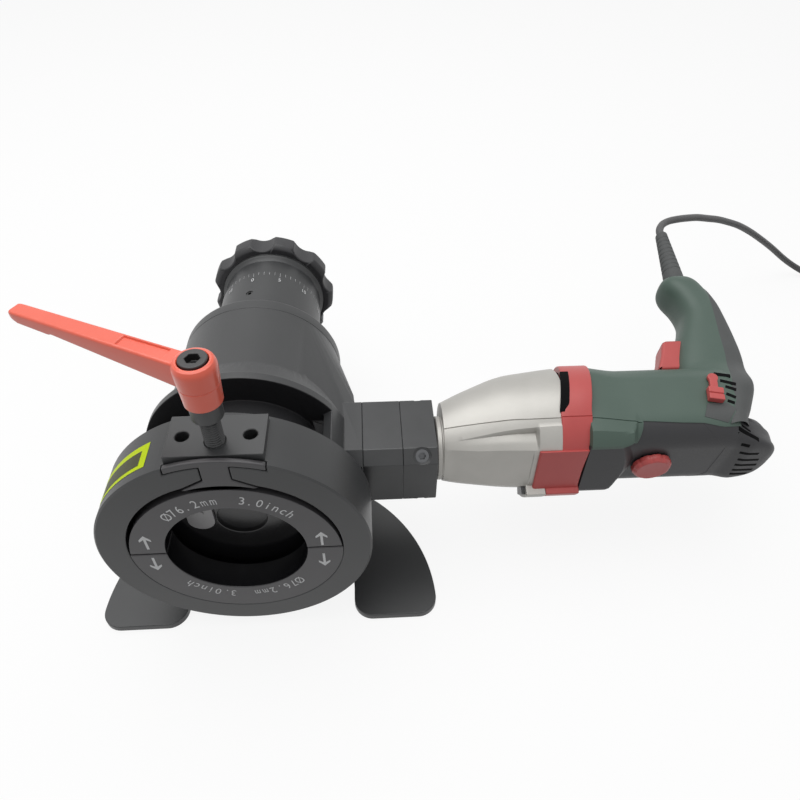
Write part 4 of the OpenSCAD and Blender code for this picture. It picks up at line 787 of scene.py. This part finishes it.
# Collar in front of the case, as (x, radius)
CASE_COLLAR = ((115, 18), (115, 19.4), (115.6, 20), (117.9, 20), (118.5, 19.2), (119.6, 19.2))


def gear_case():
    """Die-cast case with its collar, and the small blocks under it."""
    rows = []
    xs = [CASE_FRONT[0], CASE_FRONT[0] + 0.5] + list(np.arange(120.2, 171, 1.0)) + list(np.arange(171, 177, 0.3))
    for x in xs + list(np.arange(177, CASE_REAR + 0.5, 1.5)):
        r = case_r(x)
        rows.append(ring_at(x, case_v(x), r, both_sides(case_side(x, r, True), case_side(x, r, False))))
    plain = [(a, 0) for a, _ in both_sides(case_side(118, 20, True), case_side(118, 20, False))]
    rear = ring_at(CASE_REAR + 0.4, case_v(CASE_REAR), case_r(CASE_REAR) - 6, plain)
    rows = [ring_at(*CASE_FRONT, plain)] + rows + [rear]
    in_drill("gear_case_casting", skin(rows, True, True, True), "silver_case", ("gear_case",))
    turns = spread(0, 2 * math.pi, ROUND_SIDES)
    collar = [[(x, r * math.sin(a), r * math.cos(a)) for a in turns] for x, r in CASE_COLLAR]
    in_drill("case_collar", skin(collar, True, True, True), "silver_case")
    for block in FOOT_BLOCKS:
        foot_block(*block)


def red_front(v):
    """Front edge of the red ring at one level: it leans back towards the grip."""
    return 187.8 + 0.2 * max(v, 0)


def red_rear(v):
    """Rear edge of the red ring at one level."""
    return 206.5 + 0.2 * max(v, 0) + 0.15 * min(v + 5, 0)


# Below this many degrees the red ring steps out, and starts further forward
RED_STEP, RED_STEP_RISE, RED_STEP_X = -54.0, 1.5, 174.8
RED_SPLIT = -24.5
# Rounded edges of the red ring, as (share of its width, how far inside its surface)
RED_EDGES = ((0, 4), (0, 0.7), (0.02, 0.15), (0.06, 0), (0.3, 0), (0.6, 0), (0.94, 0), (0.98, 0.15), (1, 0.7), (1, 4))


def red_side(wall):
    """One side of the red ring, as (angle, offset, whether it lies below the step)."""
    wide = math.degrees(SPLIT_HALF / RED_R)
    side = [(a, 0, 0) for a in spread(90, RED_SPLIT + wide, 26)]
    side += [(RED_SPLIT + wide, 0, 0), (RED_SPLIT, -RED_SPLIT_DEPTH, 0), (RED_SPLIT - wide, 0, 0)]
    side += [(a, 0, 0) for a in spread(RED_SPLIT - 1.5, RED_STEP, 8)] + [(RED_STEP, 0, 0)]
    end = WALL_END if wall else -180 - WALL_END
    for a in [RED_STEP - 0.6] + spread(RED_STEP - 2, end, 16) + [end]:
        flat = wall_depth(RED_R + RED_STEP_RISE, a, RED_STEP) if wall else 0
        side.append((a, RED_STEP_RISE - flat, 1))
    return side


def red_ring():
    """Red ring between the gear case and the motor, with its step on the lower side."""
    rows = []
    for t, drop in RED_EDGES:
        row = []
        for a, d, low in both_sides(red_side(True), red_side(False)):
            s, c = math.sin(math.radians(a)), math.cos(math.radians(a))
            v = RED_V + RED_R * s
            start = RED_STEP_X if low else red_front(v)
            r = RED_R + d - drop
            row.append((start + (red_rear(v) - start) * t, RED_V + r * s, r * c))
        rows.append(row)
    in_drill("red_ring_moulding", skin(rows, True), "red_plastic", ("red_ring",))


CASE_VENT_TURN, CASE_VENT_STEPS = (-20, 27), 24
CASE_VENT_LONG, CASE_VENT_DEEP, CASE_VENT_LIFT = 5.2, 2, 0.15


def case_vent():
    """Dark vent slot where the red ring meets the case; it narrows at its lower end."""
    rows = []
    outer = RED_R + CASE_VENT_LIFT
    inner = outer - CASE_VENT_DEEP
    for a in spread(*CASE_VENT_TURN, CASE_VENT_STEPS) + [CASE_VENT_TURN[1]]:
        s, c = math.sin(math.radians(a)), math.cos(math.radians(a))
        start = red_front(RED_V + RED_R * s) - 0.4
        end = start + CASE_VENT_LONG - CASE_VENT_LONG / 2 * ease((-12 - a) / 8)
        rows.append([(x, RED_V + r * s, r * c)
                     for x, r in ((start, inner), (start, outer), (end, outer), (end, inner))])
    shade("case_vent", [skin(rows, True, True, True)], ("vent_covers",))


def motor_reach(x, a, taper):
    """Distance from the motor's middle to its housing's surface at one x and angle from +w towards +v.

    The chin behind the red ring runs out over the taper, and has a flat wall on the side that faces up.
    """
    flare = FLARE * ease((FLARE_X - x) / FLARE_RUN)
    s, c = math.sin(a), math.cos(a)

    def outside(t):
        v, w = MOTOR_V + t * s, t * c
        if v >= MOTOR_V:
            form = max(math.hypot(v - MOTOR_V, w) - MOTOR_R - flare, abs(w) - MOTOR_HALF - 0.5 * flare)
        else:
            q_v = (COVER_FLAT - 0.3 * flare + MOTOR_CORNER) - v
            q_w = abs(w) - (MOTOR_HALF + 0.5 * flare - MOTOR_CORNER)
            form = math.hypot(max(q_v, 0), max(q_w, 0)) + min(max(q_v, q_w), 0) - MOTOR_CORNER
        if x < taper[1] and v < RED_V:
            size = CHIN_R - CHIN_FALL * max(0, x - taper[0]) / (taper[1] - taper[0])
            wall = (v - RED_V) * math.sin(WALL_TURN) + w * math.cos(WALL_TURN) - WALL_R
            form = min(form, max(math.hypot(v - RED_V, w) - size, abs(w) - MOTOR_HALF - 0.5 * flare, wall))
        return form > 0

    low, high = 10.0, 60.0
    for _ in range(22):
        middle = (low + high) / 2
        low, high = (low, middle) if outside(middle) else (middle, high)
    return low


LOBE_X, LOBE_V = (222.0, 238.0), -20.6
JOINT = ((238, -4.9), (261, -6.6), (275, -7.2), (286, -9.6), (305, -9.6))


def lobe_edge(x):
    """Level of the green housing's lower edge: a rounded lobe behind the red ring, then the joint line."""
    if x >= LOBE_X[1]:
        return level_at(JOINT, x)
    f = max((x - LOBE_X[0]) / (LOBE_X[1] - LOBE_X[0]), 0)
    return LOBE_V + (JOINT[0][1] - LOBE_V) * (1 - (1 - f ** 2.2) ** (1 / 2.2))


def turn_at(x, v):
    """Angle in degrees at which the motor housing's +w side crosses a level."""
    low, high = -88.0, 10.0
    for _ in range(20):
        a = (low + high) / 2
        above = MOTOR_V + motor_reach(x, math.radians(a), LOBE_TAPER) * math.sin(math.radians(a)) > v
        low, high = (low, a) if above else (a, high)
    return low


def drawn_in(row, share):
    """A row drawn in towards the motor's middle."""
    return [(x, MOTOR_V + share * (v - MOTOR_V), share * w) for x, v, w in row]


HOUSING_FRONT, HOUSING_START = 203, 205
# Seam between the housing's halves: its level, and how far that falls along x from one place
SEAM_V, SEAM_FALL, SEAM_X = -3.6, 0.1, 210
LOBE_RISE, HOUSING_ROUND = 0.3, 0.9
# The housing's end leans back above the cap: by this share of the length behind one x
HOUSING_LEAN, LEAN_X = 0.6, 290


def green_housing():
    """Green housing of the motor: down to the lobe behind the red ring, then to the joint line."""
    lobe = LOBE_X[1] - LOBE_X[0]
    xs = list(np.arange(HOUSING_START, LOBE_X[0], 1.5))
    xs += [LOBE_X[0] + lobe * math.sin(k * math.pi / 36) for k in range(19)]
    xs += list(np.arange(LOBE_X[1] + 1.5, HOUSING_END - 3, 3.0)) + [HOUSING_END - 2, HOUSING_END - 0.7, HOUSING_END]
    rows = []
    for x in xs:
        edge = turn_at(x, lobe_edge(x))
        seam = max(edge + 0.2, turn_at(x, min(SEAM_V, SEAM_V - SEAM_FALL * (x - SEAM_X))))
        rise = LOBE_RISE * ease((LOBE_X[1] - x) / 2)
        round_off = HOUSING_ROUND * ease((x - HOUSING_END + 2) / 2)
        last = min(edge, seam - 1.2)
        side = [(a, 0) for a in spread(90, seam, 30)]
        side += [(seam, 0), (seam - 0.5, -2 * rise), (seam - 1, rise)]
        side += [(a, rise) for a in spread(seam - 1.1, last, 10)]
        side += [(last, rise - 0.3), (last - 0.2, -2.5)]
        row = []
        for a, d in side[1:][::-1] + [(180 - a, d) for a, d in side]:
            a = math.radians(a)
            r = motor_reach(x, a, LOBE_TAPER) + d - round_off
            v = MOTOR_V + r * math.sin(a)
            row.append((x + HOUSING_LEAN * max(0, x - LEAN_X) * ease((v - 2) / 6), v, r * math.cos(a)))
        rows.append(row)
    rows.insert(0, [(HOUSING_FRONT, v, w) for _, v, w in drawn_in(rows[0], 0.85)])
    rows += [drawn_in(rows[-1], share) for share in (0.6, 0.3, 0.01)]
    in_drill("green_motor_housing", skin(rows, False), "green_plastic", ("handle_shell_upper", "handle_shell_lower"))


# The cover lies inside the motor's outline, reaches some degrees under the housing, and draws in before its front
COVER_INSET, COVER_LAP = 0.5, 3
COVER_FRONT, COVER_FRONT_INSET = 204.4, 3.0


def motor_cover():
    """Black cover below the green housing."""
    rows = []
    xs = [201, 203.4, COVER_FRONT] + list(np.arange(206, 223, 2)) + list(np.arange(223, 246, 0.8))
    for x in xs + list(np.arange(246, CAP_X, 3)) + [CAP_X]:
        top = turn_at(x, lobe_edge(x)) + COVER_LAP
        row = []
        for a in spread(top, -180 - top, 72) + [-180 - top]:
            a = math.radians(a)
            r = motor_reach(x, a, CHIN_X) - COVER_INSET - COVER_FRONT_INSET * ease(COVER_FRONT - x)
            row.append((x, MOTOR_V + r * math.sin(a), r * math.cos(a)))
        rows.append(row)
    rows.insert(0, drawn_in(rows[0], 0.8))
    in_drill("motor_cover_moulding", skin(rows, False), "black_plastic", ("motor_cover",))


CAP_TOP = ((304, -5.2), (306, 8), (316, 12), (322, 12), (325, 10.5), (327.5, 6.5), (329, 0.5), (329.5, -5.5))
CAP_HUMP = 18.0
CAP_HALF = 31.75
# From these places on, the cap's sides and its underside round off towards its end, down to one level
CAP_SIDE_X, CAP_UNDER_X, CAP_TIP_V = 304, 317, -7
# The cap's front edge sweeps forward at the sides, and its outline is square to x from one place on
CAP_SWEEP, CAP_SQUARE_X = 29, 306
# Steps from the cap's joint line to its underside
CAP_STEPS = 18


def cap_form(x):
    """Half width, corner radius and lowest level of the end cap at one x."""
    half = CAP_HALF * max(0.001, 1 - max(0, (x - CAP_SIDE_X) / (CAP_END - CAP_SIDE_X)) ** 2.3) ** (1 / 2.3)
    low = COVER_FLAT + 0.25 + (CAP_FLAT - COVER_FLAT - 0.25) * ease((x - CAP_X) / 12)
    left = (1 - min(1, max(0, (x - CAP_UNDER_X) / (CAP_END - CAP_UNDER_X))) ** 2.4) ** (1 / 2.4)
    return half, min(MOTOR_CORNER, 0.9 * half), CAP_TIP_V + (low - CAP_TIP_V) * max(left, 0.02)


def cap_low(x, w):
    """Level of the cap's underside."""
    half, corner, low = cap_form(x)
    past = min(corner, max(0, abs(w) - half + corner))
    return low + corner - math.sqrt(corner * corner - past * past)


def cap_side(x, k):
    """Point after some steps from the cap's joint line round to its underside, as (v, w); its upper edge slopes in."""
    half, corner, low = cap_form(x)
    limit = lobe_edge(x) + 0.8 if x < HOUSING_END else COVER_LINE - 0.2
    first = math.asin(max(-0.14, min(1, (low + corner - limit) / corner)))
    a = first + (math.pi / 2 - first) * k / CAP_STEPS
    slope = min(1, 5.4 * math.sqrt(max(CAP_END - x, 0.002)) / half)
    slope += (1 - slope) * ease((k - 3) / 12)
    return low + corner - corner * math.sin(a), (half - corner + corner * math.cos(a)) * slope


def end_cap():
    """Rounded cap that closes the motor below the joint line, with a hump up behind the grip."""
    starts = [CAP_X - 1 - CAP_SWEEP * (cap_side(CAP_X, k)[1] / CAP_HALF) ** 2.6 for k in range(CAP_STEPS + 1)]
    rows = []
    # Shares of the way from the front edge to where the outline is square, then places along x
    for step in [0, 0, 0.02] + list(np.linspace(0.06, 1, 14)) + list(np.arange(CAP_SQUARE_X + 1, 328, 1.0)) + [
            328, 328.7, 329.1, 329.35, CAP_END]:
        side = []
        for k, start in enumerate(starts):
            x = start + (CAP_SQUARE_X - start) * step if step <= 1 else step
            drop = 2.0 if not rows else 0.4 if step == 0 else 0
            v, w = cap_side(x, k)
            side.append((x, v + drop * k / CAP_STEPS, max(w - drop, 0)))
        row = side + [(x, v, -w) for x, v, w in side[::-1]]
        x = side[0][0]
        lift = level_at(CAP_TOP, x) - COVER_LINE
        hump = min(CAP_HUMP, 0.9 * cap_side(x, 0)[1])
        for w in spread(-hump, hump, 24) + [hump]:
            row.append((x, COVER_LINE - 0.2 + max(lift, 0) * max(0, 1 - (w / hump) ** 2) ** 0.6, w))
        rows.append(row)
    in_drill("motor_end_cap", skin(rows, True, True, True), "black_plastic")


# Front of the grip, line between its two materials, and its back, as (v, x)
GRIP_FRONT = ((-9, 283), (10, 283), (30, 284), (54, 286), (76, 294), (94, 302), (104, 304.5), (116, 303), (127, 298.5),
              (134, 298), (139, 301.5), (141, 308))
GRIP_LINE = ((-9, 291), (0, 295), (10, 298.5), (18, 300.5), (28, 305), (50, 315), (76, 319), (104, 323), (126, 325),
             (139, 319), (141, 312))
GRIP_BACK = ((-9, 308), (0, 311.5), (10, 318), (30, 327), (56, 333), (76, 334), (97, 333), (110, 331.5), (126, 327),
             (134, 323.5), (139, 319), (141, 312))
GRIP_HALF = 16.5
# The grip's end rounds off from one level over a length, and its root widens to the motor in the same way
GRIP_END_V, GRIP_END_RUN, GRIP_ROOT_V, GRIP_ROOT_RUN = 124, 17.4, 52, 34
# Power of the grip's outline (2 is an ellipse), and how much rounder it is at the root
GRIP_SQUARE, GRIP_ROOT_ROUND = 2.7, 0.5
GREEN_FROM, STRAP_LIFT = 8, 0.45


def grip_curve(points):
    """Smooth line along the grip: x at each v."""
    spine = smooth_through([Vector((v, x)) for v, x in points], 12)
    return lambda v: float(np.interp(v, [p.x for p in spine], [p.y for p in spine]))


def hand_grip():
    """Grip in two materials: green shells in front and a soft strap behind, parted along one line."""
    front, line, back = grip_curve(GRIP_FRONT), grip_curve(GRIP_LINE), grip_curve(GRIP_BACK)
    green, strap = [], []
    for v in list(np.arange(-9, 132, 1.5)) + list(np.arange(132, 140.6, 0.6)) + [140.8, 141]:
        x0, x1, xs = front(v), back(v), line(v)
        middle, deep = (x0 + x1) / 2, (x1 - x0) / 2
        thick = GRIP_HALF * (1 - max(0, (v - GRIP_END_V) / GRIP_END_RUN) ** 2.6) ** 0.5
        thick += (MOTOR_HALF - 0.2 - GRIP_HALF) * ease((GRIP_ROOT_V - v) / GRIP_ROOT_RUN)
        power = 2 / (GRIP_SQUARE - GRIP_ROOT_ROUND * ease((30 - v) / 24))

        def edge(u):
            c, s = math.cos(u), math.sin(u)
            return (middle - deep * math.copysign(abs(c) ** power, c), v, thick * math.copysign(abs(s) ** power, s))

        cosine = max(-0.98, min(0.98, (middle - xs) / max(deep, 0.1)))
        part = math.acos(math.copysign(abs(cosine) ** (1 / power), cosine))
        if v >= GREEN_FROM:
            green.append([edge(u) for u in spread(-part, part, 48) + [part]])
        strap.append([edge(u) for u in spread(part, 2 * math.pi - part, 40) + [2 * math.pi - part]])
    in_drill("green_grip", skin(green, False), "green_plastic")
    proud = []
    for row in strap:
        grown = []
        for k, (x, v, w) in enumerate(row):
            lift = STRAP_LIFT * ease(min(k, len(row) - 1 - k) / 2.5)
            grown.append((x + lift, v, w * (1 + lift / 30)))
        first, last = ((x, v, 0.9 * w) for x, v, w in (row[0], row[-1]))
        proud.append([first] + grown + [last])
    in_drill("soft_back_strap", skin(proud, False), "soft_rubber", ("back_strap",))


# Sleeve: length inside the grip, radius at the foot, wall at the tip
SLEEVE_SUNK, SLEEVE_R, SLEEVE_WALL = 8, 8.0, 1.6
# Grooves of the sleeve: their number and depth, and the share of its length where they start and that they take up
GROOVES, GROOVE_DEPTH, GROOVE_START, GROOVE_RUN = 9, 0.55, 0.22, 0.71
# The tip is rounded off over the last share of the length
SLEEVE_TIP_RUN, SLEEVE_TIP_ROUND = 0.03, 0.8
SLEEVE_STEPS, SLEEVE_SIDES = 120, 48


def cord_sleeve():
    """Ribbed rubber sleeve round the lead where it leaves the grip."""
    rows = []
    for k in range(SLEEVE_STEPS + 1):
        f = k / SLEEVE_STEPS
        r = SLEEVE_R - (SLEEVE_R - CORD_R - SLEEVE_WALL) * f
        if GROOVE_START < f < GROOVE_START + GROOVE_RUN:
            r -= GROOVE_DEPTH * max(0, math.sin((f - GROOVE_START) / GROOVE_RUN * 2 * math.pi * GROOVES)) ** 2
        if f > 1 - SLEEVE_TIP_RUN:
            r -= SLEEVE_TIP_ROUND * ((f - 1 + SLEEVE_TIP_RUN) / SLEEVE_TIP_RUN) ** 2
        v = SLEEVE_FOOT[1] - SLEEVE_SUNK + (SLEEVE_L + SLEEVE_SUNK) * f
        x = SLEEVE_FOOT[0] + SLEEVE_LEAN * (v - SLEEVE_FOOT[1])
        rows.append([(x + r * math.cos(a), v, r * math.sin(a)) for a in spread(0, 2 * math.pi, SLEEVE_SIDES)])
    in_drill("ribbed_cord_sleeve", skin(rows, True, True, True), slot_of["cord_sleeve"], ("cord_sleeve",))


KNOB_X = 249.3
# Outline of the speed wheel, as (radius, height above the cover)
KNOB_RIM = ((3, 0.2), (11.4, 0.2), (12.1, 0.7), (12.2, 1.4), (11.9, 3.2), (10.6, 4.9), (9.7, 5.3), (3, 5.0))
KNOB_FLUTES, FLUTE_DEPTH, FLUTE_R, KNOB_SIDES = 10, 0.55, 9.8, 120


def speed_knob():
    """Speed wheel with a bevelled, gently fluted rim."""
    rows = []
    for r, h in KNOB_RIM:
        row = []
        for k in range(KNOB_SIDES):
            a = 2 * math.pi * k / KNOB_SIDES
            flute = FLUTE_DEPTH * max(0, math.cos(KNOB_FLUTES * a)) ** 2 if r > FLUTE_R else 0
            row.append((KNOB_X + (r - flute) * math.cos(a), COVER_FLAT - h, (r - flute) * math.sin(a)))
        rows.append(row)
    in_drill("speed_wheel", skin(rows, True, True, True), "red_plastic", ("speed_knob",), "speed_knob")


# Slots in the housing's side, as their two ends in (x, v)
VENT_ROWS = (((292.5, 27.6), (302.1, 25.6)), ((294.3, 22.1), (303.3, 18.9)), ((296.0, 17.4), (301.9, 14.6)),
             ((294.6, 11.9), (299.6, 8.7)), ((293.6, 6.6), (297.4, 4.6)))
VENT_WIDE, VENT_LIFT = 2.3, 0.1
# Slots in the cap's underside, as (w, start in x, end in x), and in its side, as both ends in (x, v) and a width
CAP_SLOTS = ((18.6, 299.5, 304.3), (11, 301.5, 313), (3.7, 303.4, 316.4), (-2.5, 304.1, 317.8), (-8.6, 305, 318),
             (-13.5, 305.5, 316.5))
CAP_SLOT_HALF, CAP_SLOT_LIFT = 1.1, 0.08
CAP_CUTS = (((296.5, -10.6), (309, -16.4), 2.0), ((299, -9.0), (304.3, -11.8), 0.9))
CAP_CUT_LIFT = 0.35
# How deep the dark slots and the plate go into the casing, and steps along a slot of the cap
SLOT_DEEP, SLOT_STEPS = 1.5, 9
# Edges of the plate below the reversing lever, as (v, x)
PLATE_LEFT = ((-8.1, 289.2), (-4.3, 275.8), (4.9, 280.2))
PLATE_RIGHT = ((-8.1, 289.8), (0.5, 296.8), (4.9, 292.5))
PLATE_LIFT, PLATE_STEPS = 0.3, 27


def side_slot(start, end):
    """Long box between two places on the housing's side, as points and faces."""
    ahead = Vector((end[0] - start[0], end[1] - start[1])).normalized()
    off = Vector((-ahead.y, ahead.x)) * VENT_WIDE / 2
    ends = [(x + s * off.x, v + s * off.y) for (x, v), s in ((start, -1), (end, -1), (end, 1), (start, 1))]
    points = [(x, v, w) for w in (MOTOR_HALF - SLOT_DEEP, MOTOR_HALF + VENT_LIFT) for x, v in ends]
    return points, [(0, 1, 2, 3), (4, 5, 6, 7), (0, 1, 5, 4), (1, 2, 6, 5), (2, 3, 7, 6), (3, 0, 4, 7)]


def cap_slot(w, x0, x1):
    """Narrow slot that follows the cap's underside, as points and faces."""
    half, lift = CAP_SLOT_HALF, -CAP_SLOT_LIFT
    rows = []
    for x in np.linspace(x0, x1, SLOT_STEPS):
        rows.append([(x, cap_low(x, w + off) + deep, w + off)
                     for off, deep in ((-half, lift), (half, lift), (half, SLOT_DEEP), (-half, SLOT_DEEP))])
    return skin(rows, True, True, True)


def cap_cut(start, end, wide):
    """Narrow slot along the cap's side between two places given as (x, v), as points and faces."""
    rows = []
    for f in np.linspace(0, 1, SLOT_STEPS):
        x = start[0] + (end[0] - start[0]) * f
        levels, across = zip(*[cap_side(x, k) for k in range(CAP_STEPS, -1, -1)])
        row = []
        for off, deep in ((-0.5, -SLOT_DEEP), (-0.5, CAP_CUT_LIFT), (0.5, CAP_CUT_LIFT), (0.5, -SLOT_DEEP)):
            v = start[1] + (end[1] - start[1]) * f + off * wide
            row.append((x, v, float(np.interp(v, levels, across)) + deep))
        rows.append(row)
    return skin(rows, True, True, True)


def shade(name, forms, replaced=()):
    """Dark slots as one piece."""
    piece = in_drill(name, joined(forms), "black_plastic", replaced, smooth=False)
    piece.data.materials[0] = looks["slot_shade"]


def side_vents():
    """Dark slots beside the reversing lever and in the end cap, with the plate below the lever."""
    shade("side_vent_slots", [side_slot(*ends) for ends in VENT_ROWS])
    shade("cap_slots", [cap_slot(*slot) for slot in CAP_SLOTS] + [cap_cut(*cut) for cut in CAP_CUTS])
    rows = []
    for v in np.linspace(PLATE_LEFT[0][0], PLATE_LEFT[-1][0], PLATE_STEPS):
        x0, x1 = level_at(PLATE_LEFT, v), level_at(PLATE_RIGHT, v)
        w = MOTOR_HALF - MOTOR_CORNER + math.sqrt(MOTOR_CORNER ** 2 - min(v, 0) ** 2)
        inner, outer = w - SLOT_DEEP, w + PLATE_LIFT
        rows.append([(x0, v, inner), (x0, v, outer), (x1, v, outer), (x1, v, inner)])
    in_drill("side_plate", skin(rows, True, True, True), "soft_rubber", ("vent_covers",))


# Stage

FLOOR_HALF = 4000
# Share of the floor's white that doesn't take a shadow
FLOOR_GLOW = 0.88
# Light from all sides that falls on the object; the world itself looks white
FILL_LIGHT = 0.42
# One soft lamp above, in metres and watts
LAMP_PLACE, LAMP_AIM, LAMP_SIZE, LAMP_POWER = Vector((-0.15, 0.25, 1.3)), Vector((0.1, 0.1, 0)), 1.5, 17


def seen_straight(tree):
    """1 where a camera, mirror or clear path looks, 0 for scattered light."""
    path = add(tree, "ShaderNodeLightPath")
    both = add(tree, "ShaderNodeMath", {0: path.outputs["Is Camera Ray"], 1: path.outputs["Is Glossy Ray"]},
               operation="MAXIMUM")
    return add(tree, "ShaderNodeMath", {0: both.outputs[0], 1: path.outputs["Is Transmission Ray"]},
               operation="MAXIMUM").outputs[0]


def paper_floor():
    """White paper: white to the eye with a soft shadow, and grey in the light it throws back."""
    material = bpy.data.materials.new("white_paper_floor")
    material.use_nodes = True
    tree = material.node_tree
    tree.nodes.clear()
    grey = add(tree, "ShaderNodeBsdfDiffuse", {"Color": linear("#a0a0a0")})
    white = add(tree, "ShaderNodeBsdfDiffuse", {"Color": linear("#f3f3f3")})
    glow = add(tree, "ShaderNodeEmission", {"Color": linear("#ffffff"), "Strength": 1.0})
    paper = add(tree, "ShaderNodeMixShader", {0: FLOOR_GLOW, 1: white.outputs[0], 2: glow.outputs[0]})
    told = add(tree, "ShaderNodeMixShader", {0: seen_straight(tree), 1: grey.outputs[0], 2: paper.outputs[0]})
    add(tree, "ShaderNodeOutputMaterial", {"Surface": told.outputs[0]})
    return material


def stage():
    """Paper floor, white surroundings and one soft lamp."""
    corners = [(x * FLOOR_HALF, y * FLOOR_HALF, TABLE_Z) for x, y in ((-1, -1), (1, -1), (1, 1), (-1, 1))]
    mesh = mesh_of("floor", corners, [(0, 1, 2, 3)])
    floor = placed("floor", mesh)
    mesh.materials.append(paper_floor())
    world = bpy.data.worlds.new("studio")
    scene.world = world
    world.use_nodes = True
    tree = world.node_tree
    level = add(tree, "ShaderNodeMapRange", {"Value": seen_straight(tree), "To Min": FILL_LIGHT, "To Max": 1.0})
    tree.links.new(level.outputs[0], tree.nodes["Background"].inputs["Strength"])
    tree.nodes["Background"].inputs["Color"].default_value = linear("#ffffff")
    lamp = bpy.data.lights.new("overhead", "AREA")
    lamp.energy = LAMP_POWER
    lamp.size = LAMP_SIZE
    held = placed("overhead", lamp)
    held.location = LAMP_PLACE
    held.rotation_euler = (LAMP_AIM - LAMP_PLACE).to_track_quat("-Z", "Y").to_euler()


# Pieces that keep the solids' own shape, with the width of their broken edges
BROKEN_EDGES = (("base_plate", 0.5), ("base_saddle", 0.6), ("head_casting", 0.5), ("lower_collet", 0.6),
                ("upper_collet", 0.35), ("clamp_slider", 0.8), ("lever_insert", 0.4), ("lever_cap_screw", 0.5),
                ("cutter_head", 0.5), ("rear_cover", 0.5), ("feed_sleeve", 0.4), ("dial_ring", 0.3),
                ("knob_hub", 1.0), ("feed_knob", 1.2), ("knob_cap", 0.4), ("gear_block", 0.5), ("drill_clamp", 0.5),
                ("trigger", 2.0), ("reversing_lever", 0.5))
# Only edges of the casting that turn by more than this many degrees are rounded
CASTING_EDGE_TURN = 50
COLLETS = ("lower_collet", "upper_collet")
# Nodes whose finish isn't their slot's own; the spindle's is painted shade, as it sits deep inside the head
NODE_LOOKS = (("spindle", "bore_shade"), ("cutting_insert", "tool_steel"), ("tool_holder", "tool_steel"),
              ("clamp_set_screws", "set_screw"))


def slot_finishes():
    """Gives every node of the solids its slot's finish."""
    for node, item in nodes.items():
        item.data.materials.clear()
        item.data.materials.append(looks[slot_of[node]])


def machined_pieces():
    """Pieces that keep the solids' own shape, with their edges broken and their own finishes, and painted shade inside
    the head and on its collets' bores.
    """
    for node, edge in BROKEN_EDGES:
        piece = machined(node, edge, CASTING_EDGE_TURN if node == "head_casting" else EDGE_TURN)
        if node in COLLETS or node == "clamp_slider":
            piece.data.materials[0] = looks["brushed_black"]
        if node in COLLETS:
            polished_bore(piece)
        if node == "head_casting":
            dark_hollow(piece)
        # The cutter head sits deep inside the head, so it takes painted shade
        if node == "cutter_head":
            piece.data.materials[0] = looks["bore_shade"]
    for node, look in NODE_LOOKS:
        nodes[node].data.materials[0] = looks[look]


photo_camera()
looks = all_finishes()
mark_paint = white_mark()
mains_lead()
slot_finishes()
machined_pieces()
collet_marks()
blank_label()
clamp_stud()
lever_handle()
return_spring()
dial_marks()
gear_case()
red_ring()
case_vent()
green_housing()
motor_cover()
end_cap()
hand_grip()
cord_sleeve()
speed_knob()
side_vents()
stage()

scene.view_settings.view_transform = "Standard"
